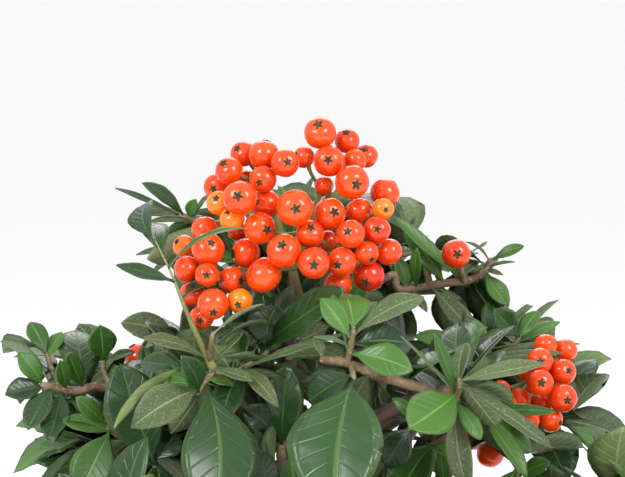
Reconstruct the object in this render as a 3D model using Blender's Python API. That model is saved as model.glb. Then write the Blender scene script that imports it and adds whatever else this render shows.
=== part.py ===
# Firethorn bonsai in a plain oval pot.
#
# Everything is in metres, +Z up. The origin is the middle of the pot's underside, and the front of
# the tree looks towards -Y. The front of the crown is laid out leaf by leaf and berry by berry, in
# picture steps as one standpoint in front of the tree sees them. The sides, the back and the lower
# crown grow by a seeded rule.

import math

import bmesh
import bpy
import numpy as np
from mathutils import Vector
from mathutils.bvhtree import BVHTree

MM = 0.001
GAP = 0.3 * MM  # between neighbours that touch on the real tree

# Pot
POT_LENGTH = 158 * MM
POT_DEPTH = 118 * MM
POT_HEIGHT = 42 * MM
POT_WALL = 6 * MM
LIP_HEIGHT = 7 * MM
LIP_PROUD = 4 * MM
FOOT_HEIGHT = 6 * MM
SOIL_BELOW_LIP = 4 * MM
SOIL_DOME = 9 * MM  # how far the soil rises from the pot's wall to the trunk
OVAL = 2.5  # exponent of the pot's outline: 2 is an ellipse, and more is squarer
GROUND = POT_HEIGHT - SOIL_BELOW_LIP + SOIL_DOME  # the soil's height at the trunk

# Standpoint that the front of the crown is laid out from
SIGHT_TARGET = Vector((0, 0, 232 * MM))
SIGHT_DISTANCE = 700 * MM
SIGHT_DOWN = math.radians(6)
PICTURE_MIDDLE = (312.5, 238.5)
STEPS_PER_MM = 4.4  # picture steps in a millimetre, at the target's distance
STEP = MM / STEPS_PER_MM

# Foliage
LEAF_LENGTH = (22 * MM, 31 * MM)
LEAF_THICK = 0.8 * MM
WIDE_LEAF = 12 * MM  # wider leaves have two pairs of side points
LEAF_CUP = 0.10  # how far a blade's sides stand above its midrib, as a share of its width
TWIG_RADIUS = 0.7 * MM
STEM_TIP_RADIUS = 1.0 * MM
ROOT_SUNK = 0.15 * MM  # how far a leaf's root goes past its twig's axis
END_INSET = 1.0 * MM  # how far inside a twig's end its last leaf starts
LEAF_STEP = 1.1 * MM  # from one leaf's root to the next along a twig
PEDICEL_RADIUS = 0.45 * MM
FORK_KNOB = 2.8 * MM  # the swelling where berry stalks part
BALL_SWELL = 1.06  # a few-sided berry is this much larger, so that its corners and flats straddle the round
GOLDEN_ANGLE = math.radians(137.5)
BERRY_DIAMETER = (6.4 * MM, 7.8 * MM)

# Trunk: x, y, height above the soil, radius, all in mm
TRUNK = (
    (-4, 0, 0, 12.0),
    (-5, 0, 5, 10.6),
    (-8, -1, 16, 9.2),
    (-14, -2, 36, 8.2),
    (-14, 0, 56, 7.2),
    (-5, 2, 76, 6.2),
    (4, 3, 94, 5.3),
    (6, 2, 110, 4.3),
    (2, 1, 124, 3.2),
    (-4, -2, 137, 2.2),
    (-5.5, -4, 150, 1.85),
    (-4.5, -3, 163, 1.6),
    (-2.5, -1, 172, 1.3),
)
ROOT_RIDGES = 5  # surface roots that flare out at the foot
ROOT_FLARE = 0.42  # how far a ridge stands out, as a share of the radius
ROOT_FADE = 14 * MM  # height over which the ridges fade

# Boughs: path as x, y, height above the soil in mm from the trunk's axis, and radius at root and tip
BOUGHS = {
    "bough_left_low": (((-14, -1, 48), (-30, -6, 60), (-46, -10, 67)), 3.6, 1.9),
    "bough_front_left": (((-2, 2, 84), (-13, -13, 92), (-23, -25, 98)), 2.8, 1.6),
    "bough_front_right": (((5, 2, 98), (16, -13, 104), (24, -25, 108)), 2.7, 1.5),
    "bough_right_low": (((2, 2, 90), (19, -2, 96), (36, -6, 98), (50, -8, 100)), 3.0, 1.7),
    "bough_back_low": (((-11, 0, 66), (-9, 16, 76), (-6, 32, 84)), 3.2, 1.7),
    "bough_front_low": (((5, 2, 106), (0, -12, 112), (-6, -22, 117)), 2.6, 1.5),
    "bough_left_mid": (((5, 2, 114), (-12, 8, 126), (-24, 10, 133)), 2.5, 1.4),
    "bough_back_left": (((4, 2, 100), (-10, 20, 108), (-22, 34, 118)), 2.5, 1.4),
    "bough_back_right": (((5, 2, 104), (18, 16, 116), (30, 28, 124)), 2.5, 1.4),
    "bough_right_mid": (((0, 1, 128), (14, 6, 139), (28, 8, 147)), 2.0, 1.3),
    "bough_right_front": (((-2, -1, 133), (8, -12, 142), (20, -20, 150), (27, -25, 153), (32.5, -28, 155.5)), 1.9, 1.3),
    "bough_left_front": (((-5.5, -4, 153), (-9, -7, 155.5), (-14, -11, 156)), 1.5, 1.25),
    "bough_back_high": (((-4, -2, 145), (-3, 8, 151), (-4, 12, 158)), 1.5, 1.1),
    "bough_back_right_high": (((-4, -2, 140), (6, 13, 150), (12, 30, 158)), 1.5, 1.2),
    "bough_right_high": (((-3.5, -2, 167), (6, 8, 171), (18, 19, 174)), 1.15, 0.95),
    "bough_left_high": (((-4.5, -3, 160), (-12, 6, 170), (-17, 12, 183)), 1.15, 0.95),
}

# The berries of the top cluster, in picture steps: across, down, diameter, how many mm nearer than the
# trunk, and how far right and down of the middle the dry calyx shows (beyond the rim, it is turned away)
TOP_BERRIES = (
    (320, 133, 32, 14, -2, -9), (347, 141, 25, 9, -1, -9), (366, 156, 24, 6, -1, -7),
    (355, 160, 23, 11, 8, -15), (329, 161, 31, 16, -1, -1), (304, 157, 22, 10, -9, -3),
    (352, 182, 34, 17, 5, 3), (324, 186, 20, 11, -11, -4), (385, 193, 30, 10, 14, -16),
    (383, 209, 22, 16, 3, 1), (377, 230, 27, 18, 0, -1), (359, 211, 27, 12, -10, -15),
    (330, 214, 32, 17, 5, -2), (295, 208, 36, 22, 1, 1), (351, 234, 28, 22, -4, -3),
    (389, 252, 27, 15, 13, 12), (367, 253, 24, 20, 5, 7), (369, 276, 31, 16, -4, 7),
    (342, 262, 29, 21, -5, 3), (338, 284, 28, 16, 0, 22), (314, 263, 31, 25, 0, 2),
    (328, 241, 22, 12, 12, -12), (310, 234, 28, 20, 1, -7), (284, 251, 34, 24, -2, -7),
    (264, 275, 36, 20, 20, 22), (246, 253, 30, 13, -14, 1), (232, 280, 27, 16, 10, 1),
    (207, 275, 24, 20, 0, 0), (187, 269, 27, 15, -18, 4), (208, 249, 33, 17, 4, -7),
    (205, 229, 27, 11, 0, -20), (184, 246, 23, 9, -8, -5), (192, 294, 25, 13, -6, 14),
    (213, 304, 31, 22, 1, 9), (240, 301, 25, 20, -2, 4), (202, 317, 24, 17, -2, 4),
    (232, 219, 25, 14, -4, -8), (260, 228, 32, 17, 8, 2), (266, 204, 29, 16, -10, -2),
    (240, 198, 34, 22, -2, -2), (263, 179, 27, 17, -4, 4), (285, 163, 28, 18, 3, -1),
    (264, 155, 31, 13, 4, -24), (243, 154, 26, 9, -6, -6), (229, 171, 28, 15, -6, -8),
    (217, 187, 27, 11, -4, 2), (219, 203, 25, 13, -3, -5), (237, 231, 20, 6, 10, 16),
    (247, 181, 22, 8, -2, -16),
)
# Stalk forks of the top cluster: across, down, near
TOP_FORKS = (
    (226, 272, 6), (238, 205, 4), (264, 180, 6), (300, 232, 6),
    (322, 190, 5), (350, 172, 5), (345, 248, 9), (372, 228, 7),
)
TOP_HUB = (292, 268, 3)

RIGHT_BERRIES = (
    (540, 361, 27, 0, 0, 0), (540, 383, 28, 4, 1, -1), (500, 391, 23, 0, 12, 12),
    (505, 406, 25, 2, -5, 4), (526, 420, 27, 4, 0, 4), (520, 399, 24, 0, 16, -12),
    (527, 370, 23, -5, -8, -16), (546, 345, 24, -6, 2, -16), (551, 420, 25, 0, 10, 3),
    (563, 372, 27, -2, 6, -2), (563, 398, 29, 3, 4, 2), (543, 403, 24, -3, 12, 14),
    (566, 350, 24, -8, 8, -10),
)
RIGHT_FORKS = ((532, 380, -10), (552, 392, -11))
RIGHT_HUB = (520, 392, -15)

# Foliage of the front, in picture steps and mm nearer than the trunk. A twig is a path of across,
# down, near. A rosette is its middle on a twig and its leaves: the tip's across, down and near, the
# width, and the roll in degrees: 0 shows the upper face to the standpoint, 90 shows it to the sky.
FRONT = {
    "spray_left_front": {
        "bough": "bough_left_front",
        "twigs": (
            ((232, 372, 15), (212, 371, 15)),
            ((212, 371, 15), (209, 360, 17), (198, 337, 19), (185, 308, 23), (172, 275, 26), (152, 234, 26)),
            ((209, 362, 17), (211, 346, 20), (213, 332, 21)),
            ((212, 371, 15), (203, 384, 19), (197, 395, 21)),
            ((203, 384, 19), (186, 364, 12)),
            ((250, 372, 13), (262, 356, 8), (268, 350, 6)),
        ),
        "rosettes": (
            ((209, 360, 17), ((143, 339, 26, 20, 50), (243, 328, 12, 20, 30), (252, 381, 24, 14, 40))),
            ((213, 332, 21), ((263, 304, 25, 11, 110),)),
            ((171, 280, 25), ((116, 265, 27, 17, 35),)),
            ((172, 264, 26), ((246, 228, 34, 12, 60),)),
            ((197, 393, 21), (
                (181, 356, 29, 25, 25), (131, 428, 30, 38, 10), (150, 383, 14, 20, 40),
                (214, 512, 33, 78, 12), (234, 386, 18, 16, 50),
            )),
            ((186, 364, 12), ((114, 428, 38, 16, 140), (141, 362, 6, 25, 30))),
            ((247, 374, 13), ((221, 421, 24, 30, 10), (278, 407, 26, 18, 20), (347, 333, 27, 14, 55), (241, 329, 6, 24, 15))),
            ((268, 351, 6), ((278, 306, 6, 50, 8),)),
        ),
    },
    "spray_left_mid": {
        "bough": "bough_left_mid",
        "twigs": (
            ((192, 410, -12), (150, 398, -15), (100, 387, -15), (75, 391, -14), (40, 385, -12)),
            ((112, 389, -15), (104, 372, -17), (103, 358, -17)),
            ((165, 402, -14), (172, 375, -18), (182, 344, -18)),
            ((150, 398, -15), (152, 440, -6), (155, 468, 0)),
            ((152, 440, -6), (120, 436, -6), (106, 425, -4)),
            ((60, 389, -13), (52, 370, -16), (46, 352, -18)),
        ),
        "rosettes": (
            ((86, 389, -15), ((68, 352, -10, 20, 20), (110, 372, -20, 14, 30))),
            ((103, 358, -17), ((100, 325, -12, 31, 10), (135, 352, -22, 12, 40))),
            ((182, 344, -18), ((121, 323, -16, 32, 30), (158, 330, -12, 30, 20))),
            ((150, 396, -16), ((78, 366, -24, 17, 30), (143, 346, -18, 20, 30))),
            ((155, 468, 0), ((120, 364, 0, 62, 5), (176, 432, -4, 34, 10))),
            ((106, 425, -4), ((76, 397, 0, 20, 20), (80, 492, 0, 45, 10), (62, 420, -6, 22, 30))),
            ((148, 466, -2), ((82, 494, -8, 42, 10), (160, 520, 4, 40, 10))),
            ((40, 385, -12), ((18, 352, -10, 24, 20), (5, 395, -8, 26, 30), (28, 430, -4, 28, 20))),
            ((46, 352, -18), ((30, 322, -20, 22, 20), (62, 332, -22, 18, 30))),
            ((62, 389, -13), ((48, 440, -4, 30, 15), (60, 360, -8, 18, 20))),
        ),
    },
    "spray_top": {
        "bough": "bough_back_high",
        "twigs": (
            ((290, 330, -13), (294, 300, -14), (292, 268, -12), (288, 240, -12), (300, 208, -16)),
            ((292, 268, -12), (262, 262, -12), (250, 262, -12)),
            ((294, 318, -13), (274, 352, -3), (262, 345, 4)),
            ((296, 302, -14), (290, 330, -10), (288, 356, -8)),
            ((296, 302, -14), (318, 322, -11), (345, 330, -5)),
        ),
        "rosettes": (
            ((300, 208, -16), ((314, 176, -16, 7, 30), (303, 186, -18, 7, 30), (278, 186, -14, 13, 30))),
            ((288, 245, -12), ((281, 205, -10, 20, 10), (318, 222, -10, 18, 20), (262, 228, -14, 16, 20))),
            ((250, 262, -12), ((212, 256, -18, 15, 30), (228, 238, -18, 14, 30), (222, 284, -15, 20, 20))),
            ((262, 345, 4), ((345, 289, 28, 40, 35), (222, 318, 2, 24, 20))),
            ((296, 302, -14), ((332, 338, -12, 34, 10), (336, 268, -12, 26, 10), (262, 322, -12, 30, 20))),
            ((288, 356, -8), ((314, 374, -4, 38, 10), (246, 346, -12, 26, 20))),
            ((345, 330, -5), ((366, 272, 0, 24, 20), (388, 310, -2, 22, 20), (334, 280, -2, 20, 20))),
        ),
    },
    "spray_left_high": {
        "bough": "bough_left_high",
        "twigs": (
            ((234, 224, -14), (205, 224, -14), (178, 215, -12)),
            ((220, 225, -14), (200, 242, -14), (186, 246, -12)),
        ),
        "rosettes": (
            ((178, 214, -12), (
                (115, 188, -10, 10, 50), (142, 183, -4, 18, 40), (196, 199, -10, 14, 20),
                (213, 192, -14, 8, 50), (148, 222, -6, 10, 50), (160, 213, -14, 6, 40),
            )),
            ((230, 224, -14), ((147, 259, -3, 36, 150), (160, 238, -14, 22, 60))),
            ((186, 246, -12), ((136, 255, -12, 8, 40), (166, 262, -8, 12, 20), (150, 275, -16, 8, 30))),
        ),
    },
    "spray_right_high": {
        "bough": "bough_right_high",
        "twigs": (
            ((400, 290, -22), (440, 284, -22), (470, 280, -22), (488, 268, -22), (492, 258, -22)),
            ((432, 284, -22), (424, 262, -26), (412, 240, -26), (406, 222, -26)),
            ((463, 281, -22), (460, 268, -16), (458, 260, -13)),
        ),
        "rosettes": (
            ((492, 260, -22), ((524, 246, -20, 13, 30), (466, 242, -19, 6, 60), (515, 262, -18, 5, 40))),
            ((488, 268, -22), ((503, 275, -18, 7, 30), (508, 306, -18, 20, 10))),
            ((463, 281, -22), ((393, 216, -18, 16, 35), (452, 264, -26, 15, 20), (479, 262, -26, 12, 20))),
            ((446, 283, -22), ((404, 232, -22, 24, 20), (422, 238, -30, 20, 20), (462, 300, -26, 8, 20))),
            ((417, 288, -22), ((417, 248, -16, 13, 20), (427, 312, -18, 10, 20))),
            ((405, 289, -22), ((396, 258, -24, 18, 20), (384, 238, -27, 16, 20))),
            ((432, 284, -22), ((478, 338, -14, 24, 20),)),
            ((406, 222, -26), ((400, 210, -26, 5, 20), (416, 218, -25, 5, 30))),
        ),
        "fruit": (((456, 254, 30, -11, 1, 0),), ((459, 264, -14),), (461, 274, -20)),
    },
    "spray_centre_front": {
        "bough": "bough_right_front",
        "side": True,
        "twigs": (
            ((424, 389, 24), (380, 376, 27), (345, 362, 28), (320, 359, 29)),
            ((347, 363, 28), (351, 345, 30), (354, 328, 31)),
            ((352, 366, 28), (354, 380, 31)),
        ),
        "rosettes": (
            ((354, 330, 31), (
                (345, 294, 23, 40, 25), (424, 297, 22, 27, 35), (321, 298, 30, 24, 15),
                (411, 345, 24, 42, 30), (314, 337, 37, 7, 50),
            )),
            ((351, 354, 29), ((413, 371, 33, 33, 15),)),
            ((354, 380, 31), ((336, 508, 44, 92, 15), (309, 402, 22, 36, 20))),
            ((322, 359, 29), ((318, 338, 26, 12, 20),)),
        ),
    },
    "spray_right_front": {
        "bough": "bough_right_front",
        "side": True,
        "twigs": (
            ((446, 392, 25), (455, 400, 24), (450, 430, 16), (432, 446, 10)),
            ((455, 400, 24), (460, 388, 28), (459, 379, 30)),
            ((455, 400, 24), (470, 404, 12), (486, 414, 4)),
            ((450, 430, 16), (425, 427, 18), (411, 423, 19)),
        ),
        "rosettes": (
            ((459, 380, 30), ((546, 364, 34, 22, 45), (552, 448, 26, 18, 40), (466, 343, 20, 24, 30))),
            ((456, 394, 26), ((409, 428, 38, 47, 15), (401, 336, 34, 6, 60), (434, 334, 34, 13, 20))),
            ((455, 401, 24), ((468, 492, 24, 25, 10), (481, 440, 28, 18, 20), (498, 420, 10, 22, 20))),
            ((478, 409, 7), ((527, 478, 14, 24, 50), (556, 412, 12, 14, 30), (532, 452, -4, 22, 20))),
            ((432, 446, 10), ((449, 456, 18, 16, 20), (398, 505, 16, 46, 20), (444, 494, 8, 16, 10))),
            ((411, 423, 19), ((386, 468, 18, 38, 20), (392, 398, 22, 14, 20))),
        ),
    },
    "spray_right_mid": {
        "bough": "bough_right_mid",
        "twigs": (
            ((452, 372, -12), (474, 362, -13), (486, 348, -13)),
            ((474, 362, -13), (506, 352, -18), (521, 335, -18)),
            ((462, 370, -13), (488, 398, -16), (510, 440, -14), (520, 478, -10)),
        ),
        "rosettes": (
            ((486, 348, -13), (
                (472, 318, -12, 18, 20), (499, 329, -8, 15, 20), (562, 342, -4, 10, 55),
                (562, 353, 2, 13, 40), (414, 336, -14, 24, 40),
            )),
            ((521, 335, -18), ((494, 309, -13, 26, 20), (538, 311, -20, 19, 20), (560, 322, -24, 14, 30))),
            ((511, 442, -14), ((545, 434, -12, 18, 20), (488, 416, -18, 16, 30))),
            ((520, 476, -10), ((550, 462, -6, 20, 20), (560, 490, -8, 24, 20), (500, 505, -4, 24, 20))),
        ),
        "fruit": (RIGHT_BERRIES, RIGHT_FORKS, RIGHT_HUB),
    },
    "spray_front_low": {
        "bough": "bough_front_low",
        "twigs": (
            ((286, 520, 20), (276, 500, 18), (281, 460, 9), (281, 437, 6)),
            ((276, 500, 18), (262, 505, 18)),
            ((276, 500, 18), (300, 502, 12), (340, 510, 4), (392, 502, 2)),
        ),
        "rosettes": (
            ((281, 438, 6), ((247, 452, 12, 24, 20), (243, 406, 12, 32, 15), (287, 364, 10, 42, 15))),
            ((264, 504, 18), ((262, 449, 22, 30, 10), (232, 520, 26, 26, 20), (216, 480, 18, 24, 15))),
            ((300, 502, 12), ((290, 457, 18, 34, 10), (322, 470, 8, 26, 20))),
            ((392, 502, 2), ((397, 455, 4, 26, 10), (430, 512, 6, 26, 30), (365, 470, 4, 24, 20))),
        ),
    },
}

# Foliage that grows by rule: bough, where its stem ends (x, y, height above the soil, mm), how far its
# twigs reach (mm), how many twigs, seed
RULED = {
    "spray_left_low": ("bough_left_low", (-68, -8, 92), 24, 9, 11),
    "spray_front_left": ("bough_front_left", (-42, -40, 108), 22, 8, 17),
    "spray_front_right": ("bough_front_right", (38, -42, 114), 22, 8, 18),
    "spray_right_low": ("bough_right_low", (72, -10, 112), 24, 9, 12),
    "spray_back_low": ("bough_back_low", (2, 56, 98), 25, 9, 13),
    "spray_back_left": ("bough_back_left", (-44, 46, 138), 25, 10, 14),
    "spray_back_right": ("bough_back_right", (48, 42, 136), 25, 10, 15),
    "spray_back_high": ("bough_back_right_high", (10, 48, 174), 24, 9, 16),
}

# Berry clusters that grow by rule: the spray each is on, the middle (x, y, height above the soil, mm),
# the way it faces, how many berries, seed
RULED_FRUIT = {
    "spray_left_low": ((-62, -20, 98), (-0.5, -0.7, 0.5), 8, 21),
    "spray_front_right": ((40, -46, 124), (0.3, -0.8, 0.5), 8, 22),
    "spray_back_left": ((-36, 56, 146), (-0.3, 0.8, 0.5), 8, 23),
    "spray_back_right": ((42, 54, 140), (0.4, 0.8, 0.4), 8, 24),
}

# Where the background shows between the leaves: left, top, right, bottom, in picture steps
SKY = (
    (0, 0, 625, 190), (0, 0, 112, 318), (0, 262, 160, 320), (400, 190, 625, 238), (500, 190, 625, 300),
    (404, 300, 436, 326), (308, 342, 346, 360), (440, 430, 490, 478), (480, 455, 540, 560),
    (106, 344, 142, 364), (146, 262, 186, 316), (385, 428, 398, 444), (428, 248, 440, 268),
)


def v_unit(vector):
    return vector / max(np.linalg.norm(vector), 1e-12)


def above_soil(x, y, height):
    return np.array((x * MM, y * MM, GROUND + height * MM))


def sight_axes():
    """The way the standpoint looks, and its right and up."""
    forward = np.array((0, math.cos(SIGHT_DOWN), -math.sin(SIGHT_DOWN)))
    right = np.array((1.0, 0, 0))
    return forward, right, np.cross(right, forward)


FORWARD, RIGHT, UP = sight_axes()
EYE = np.array(SIGHT_TARGET) - FORWARD * SIGHT_DISTANCE
FOCAL = SIGHT_DISTANCE / STEP


def seen(across, down, near):
    """The point that the standpoint sees at a place of the picture, near mm in front of the target."""
    ray = FORWARD + RIGHT * (across - PICTURE_MIDDLE[0]) / FOCAL + UP * (PICTURE_MIDDLE[1] - down) / FOCAL
    return EYE + ray * (SIGHT_DISTANCE - near * MM)


def in_picture(points):
    """Picture places of points."""
    away = np.asarray(points) - EYE
    depth = away @ FORWARD
    return PICTURE_MIDDLE[0] + FOCAL * (away @ RIGHT) / depth, PICTURE_MIDDLE[1] - FOCAL * (away @ UP) / depth


def smooth(points, per_span=4):
    """A Catmull-Rom curve through the points."""
    points = np.asarray(points, float)
    ends = np.vstack((2 * points[0] - points[1], points, 2 * points[-1] - points[-2]))
    curve = []
    for a, b, c, d in zip(ends, ends[1:], ends[2:], ends[3:]):
        for t in np.arange(per_span) / per_span:
            curve.append(
                0.5 * (2 * b + (c - a) * t + (2 * a - 5 * b + 4 * c - d) * t**2 + (3 * b - a - 3 * c + d) * t**3)
            )
    return np.array(curve + [points[-1]])


def rings_along(path, radii, sides, first_normal=None):
    """Rings of points square to the path, turned no more than the path turns."""
    tangents = np.gradient(path, axis=0)
    tangents /= np.linalg.norm(tangents, axis=1)[:, None]
    if first_normal is not None:
        tangents[0] = first_normal
    side = v_unit(np.cross(tangents[0], (0.31, 0.87, 0.2)))
    rings = []
    for centre, tangent, radius in zip(path, tangents, radii):
        side = v_unit(side - tangent * (side @ tangent))
        other = np.cross(tangent, side)
        turn = 2 * np.pi * np.arange(sides) / sides
        rings.append(centre + radius * (np.outer(np.cos(turn), side) + np.outer(np.sin(turn), other)))
    return np.array(rings), tangents


def skin(rings, start, end):
    """Points and faces of a closed skin over rings, with a middle point on each cap."""
    count, sides, _ = rings.shape
    points = np.vstack((rings.reshape(-1, 3), start, end))
    faces = []
    for i in range(count - 1):
        for j in range(sides):
            k = (j + 1) % sides
            faces.append((i * sides + j, i * sides + k, (i + 1) * sides + k, (i + 1) * sides + j))
    last = (count - 1) * sides
    for j in range(sides):
        k = (j + 1) % sides
        faces.append((count * sides, k, j))
        faces.append((count * sides + 1, last + j, last + k))
    return points, faces


def tube(path, radii, sides=3, first_normal=None):
    rings, _ = rings_along(np.asarray(path), radii, sides, first_normal)
    return skin(rings, path[0], path[-1])


def leaf(root, tip, width, normal, thick=LEAF_THICK, pairs=1):
    """A thin closed blade, cupped along its midrib: its outline runs from root to tip through one or
    two pairs of side points, with one point above the midrib and one below."""
    axis = tip - root
    normal = v_unit(normal - axis * (normal @ axis) / (axis @ axis))
    side = np.cross(v_unit(axis), normal)
    stations = ((0.55, 0.5),) if pairs == 1 else ((0.34, 0.42), (0.7, 0.46))
    rim = [root]
    for along, half in stations:
        rim.append(root + axis * along + side * width * half + normal * width * LEAF_CUP)
    rim.append(tip)
    for along, half in reversed(stations):
        rim.append(root + axis * along - side * width * half + normal * width * LEAF_CUP)
    middle = root + axis * 0.5
    points = np.array(rim + [middle + normal * thick * 0.6, middle - normal * thick * 0.4])
    top, under = len(rim), len(rim) + 1
    faces = []
    for i in range(len(rim)):
        j = (i + 1) % len(rim)
        faces += [(i, j, top), (j, i, under)]
    return points, faces


def ball(centre, diameter, axis, segments=5, bands=3):
    """A few-sided ball, a little wider than it is long, each ring turned half a side from the last."""
    axis = v_unit(axis)
    side = v_unit(np.cross(axis, (0.3, 0.5, 0.81)))
    other = np.cross(axis, side)
    radius = diameter / 2
    rings = []
    for band in range(1, bands):
        lean = np.pi * band / bands
        turn = 2 * np.pi * (np.arange(segments) + band / 2) / segments
        level = centre - axis * radius * 0.93 * math.cos(lean)
        rings.append(
            level + radius * math.sin(lean) * (np.outer(np.cos(turn), side) + np.outer(np.sin(turn), other))
        )
    return skin(np.array(rings), centre - axis * radius * 0.93, centre + axis * radius * 0.93)


def make_mesh(name, points, faces):
    mesh = bpy.data.meshes.new(name)
    mesh.from_pydata([tuple(p) for p in points], [], [tuple(f) for f in faces])
    return mesh


def make_object(name, points, faces, material, collection=None):
    mesh = make_mesh(name, points, faces)
    mesh.materials.append(material)
    placed = bpy.data.objects.new(name, mesh)
    (collection or bpy.context.scene.collection).objects.link(placed)
    return placed


def make_material(name, colour, roughness, metallic=0.0):
    material = bpy.data.materials.new(name)
    material.use_nodes = True
    surface = material.node_tree.nodes["Principled BSDF"]
    surface.inputs["Base Color"].default_value = (*colour, 1)
    surface.inputs["Roughness"].default_value = roughness
    surface.inputs["Metallic"].default_value = metallic
    return material


def face_outwards(mesh):
    shape = bmesh.new()
    shape.from_mesh(mesh)
    bmesh.ops.recalc_face_normals(shape, faces=shape.faces)
    shape.to_mesh(mesh)
    shape.free()


class Space:
    """What is already placed, piece by piece, so that a new piece can be tried against it."""

    def __init__(self):
        self.pieces = []

    def add(self, node, points, faces):
        points = np.asarray(points)
        middle = points.mean(0)
        tree = BVHTree.FromPolygons([Vector(p) for p in points], [tuple(f) for f in faces])
        self.pieces.append((node, middle, np.linalg.norm(points - middle, axis=1).max(), tree))

    def touches(self, points, faces, passed_over=None):
        """The node of a placed piece that this one crosses, or None. One node's pieces are passed over."""
        points = np.asarray(points)
        middle = points.mean(0)
        radius = np.linalg.norm(points - middle, axis=1).max()
        tree = None
        for other, centre, reach, placed in self.pieces:
            if other == passed_over:
                continue
            if np.linalg.norm(centre - middle) > radius + reach:
                continue
            tree = tree or BVHTree.FromPolygons([Vector(p) for p in points], [tuple(f) for f in faces])
            if tree.overlap(placed):
                return other
        return None


space = Space()  # every piece, for other nodes to keep clear of
blades = Space()  # leaves and berries alone, for leaves of the same node


class Limb:
    """A tapering limb: its path, its radii and its end's direction, for what grows on it."""

    def __init__(self, path, radii):
        self.path, self.radii = np.asarray(path), np.asarray(radii)

    def end(self):
        return self.path[-1], v_unit(self.path[-1] - self.path[-2])

    def clearance(self, points):
        """Distance from each point to the limb's surface."""
        start, span = self.path[:-1], np.diff(self.path, axis=0)
        away = np.atleast_2d(points)[:, None] - start
        along = np.clip((away * span).sum(2) / (span**2).sum(1), 0, 1)
        gone = np.linalg.norm(away - span * along[..., None], axis=2)
        return (gone - self.radii[:-1] - np.diff(self.radii) * along).min(1)


def seated_tube(path, radii, sides, host):
    """A limb that starts on its host's side: the first ring is slid along the path until every point
    is one gap off the host's surface."""
    path, radii = np.asarray(path), np.asarray(radii)
    start = int(np.argmax(host.clearance(path) > radii))
    path, radii = path[start:], radii[start:]
    rings, tangents = rings_along(path, radii, sides)
    slides = np.arange(10, -16, -0.02) * MM
    first = []
    for point in [*rings[0], path[0]]:
        places = point + slides[:, None] * tangents[0]
        clear = host.clearance(places)
        met = clear < GAP * 1.2
        first.append(places[max(int(np.argmax(met)) - 1, 0)] if met.any() else places[np.argmin(clear)])
    rings[0] = first[:-1]
    return skin(rings, first[-1], path[-1]), Limb(path, radii)


def build_trunk(bark):
    path = np.array([above_soil(x, y, h) for x, y, h, _ in TRUNK])
    radii = np.array([r * MM for *_, r in TRUNK])
    rings, _ = rings_along(path, radii, 10, first_normal=np.array((0, 0, 1.0)))
    for ring, centre in zip(rings, path):
        fade = max(0.0, 1 - (centre[2] - GROUND) / ROOT_FADE) ** 2
        for point in ring:
            away = point - centre
            ridge = max(0.0, math.cos(ROOT_RIDGES * math.atan2(away[1], away[0])))
            point += away * ROOT_FLARE * ridge * fade
        if centre[2] - GROUND < GAP:
            ring[:, 2] = GROUND + GAP
    start = path[0] + (0, 0, GAP)
    points, faces = skin(rings, start, path[-1])
    make_object("trunk", points, faces, bark)
    space.add("trunk", points, faces)
    return Limb(path, radii)


def build_boughs(trunk, bark):
    boughs = {}
    for name, (places, thick, thin) in BOUGHS.items():
        path = smooth([above_soil(*place) for place in places], 2)
        radii = np.linspace(thick, thin, len(path)) * MM
        (points, faces), boughs[name] = seated_tube(path, radii, 6, trunk)
        make_object(name, points, faces, bark)
        space.add(name, points, faces)
    return boughs


def leaf_normal(root, tip, roll):
    """A blade's upper side: roll 0 faces the standpoint, and a larger roll turns it to the sky."""
    axis = v_unit(tip - root)
    to_eye = v_unit(EYE - root)
    facing = v_unit(to_eye - axis * (to_eye @ axis))
    side = np.cross(axis, facing)
    if side[2] < 0:
        side = -side
    angle = math.radians(roll)
    return facing * math.cos(angle) + side * math.sin(angle)


def keep_leaf(node, parts, root, tip, width, normal, laid):
    """Adds a leaf to the node's parts, its root sunk past its twig's axis, unless it would cross what is
    placed. Returns whether it did."""
    root = root - v_unit(tip - root) * ROOT_SUNK
    pairs = 2 if width > WIDE_LEAF else 1
    full = leaf(root, tip, width, normal, pairs=pairs)
    fat = leaf(root, tip, width * 1.04, normal, thick=LEAF_THICK * 1.8, pairs=pairs)
    if space.touches(*fat, passed_over=node):
        return False
    if not laid and blades.touches(*full):
        return False
    parts.append(full)
    space.add(node, *full)
    blades.add(node, *full)
    return True


def twig_radii(count):
    return np.linspace(TWIG_RADIUS, TWIG_RADIUS * 0.75, count)


def add_twig(node, parts, path, radii, laid=False, first_normal=None):
    """Adds a twig, unless it would cross another node."""
    shape = tube(path, radii, first_normal=first_normal)
    met = space.touches(*tube(path, np.asarray(radii) + GAP, first_normal=first_normal), passed_over=node)
    if met:
        if laid:
            print("left out a twig of", node, "at", in_picture(path[-1]), "for", met)
        return False
    parts.append(shape)
    space.add(node, *shape)
    return True


def settle_berries(rows):
    """Centres and diameters of berries laid out in the picture. Those that would cross are moved apart
    along the line of sight, the nearer one nearer."""
    near = np.array([row[3] for row in rows], float)
    for _ in range(60):
        centres = np.array([seen(row[0], row[1], n) for row, n in zip(rows, near)])
        size = np.array([row[2] * STEP for row in rows])
        for i in range(len(rows)):
            for j in range(i):
                need = 0.52 * (size[i] + size[j])
                apart = np.linalg.norm(centres[i] - centres[j])
                if apart < need:
                    push = 0.25 * (need - apart) / MM + 0.05
                    sign = 1 if near[i] >= near[j] else -1
                    near[i] += sign * push
                    near[j] -= sign * push
    return [(seen(row[0], row[1], n), row[2] * STEP) for row, n in zip(rows, near)]


def berry_facing(row):
    """The way the calyx points, from where it shows on the berry."""
    _, _, diameter, _, right, down = row
    across, up = right / (diameter / 2), -down / (diameter / 2)
    spread = across**2 + up**2
    towards = math.sqrt(1 - spread) if spread < 1 else -0.35
    return v_unit(RIGHT * across + UP * up - FORWARD * towards)


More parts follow.
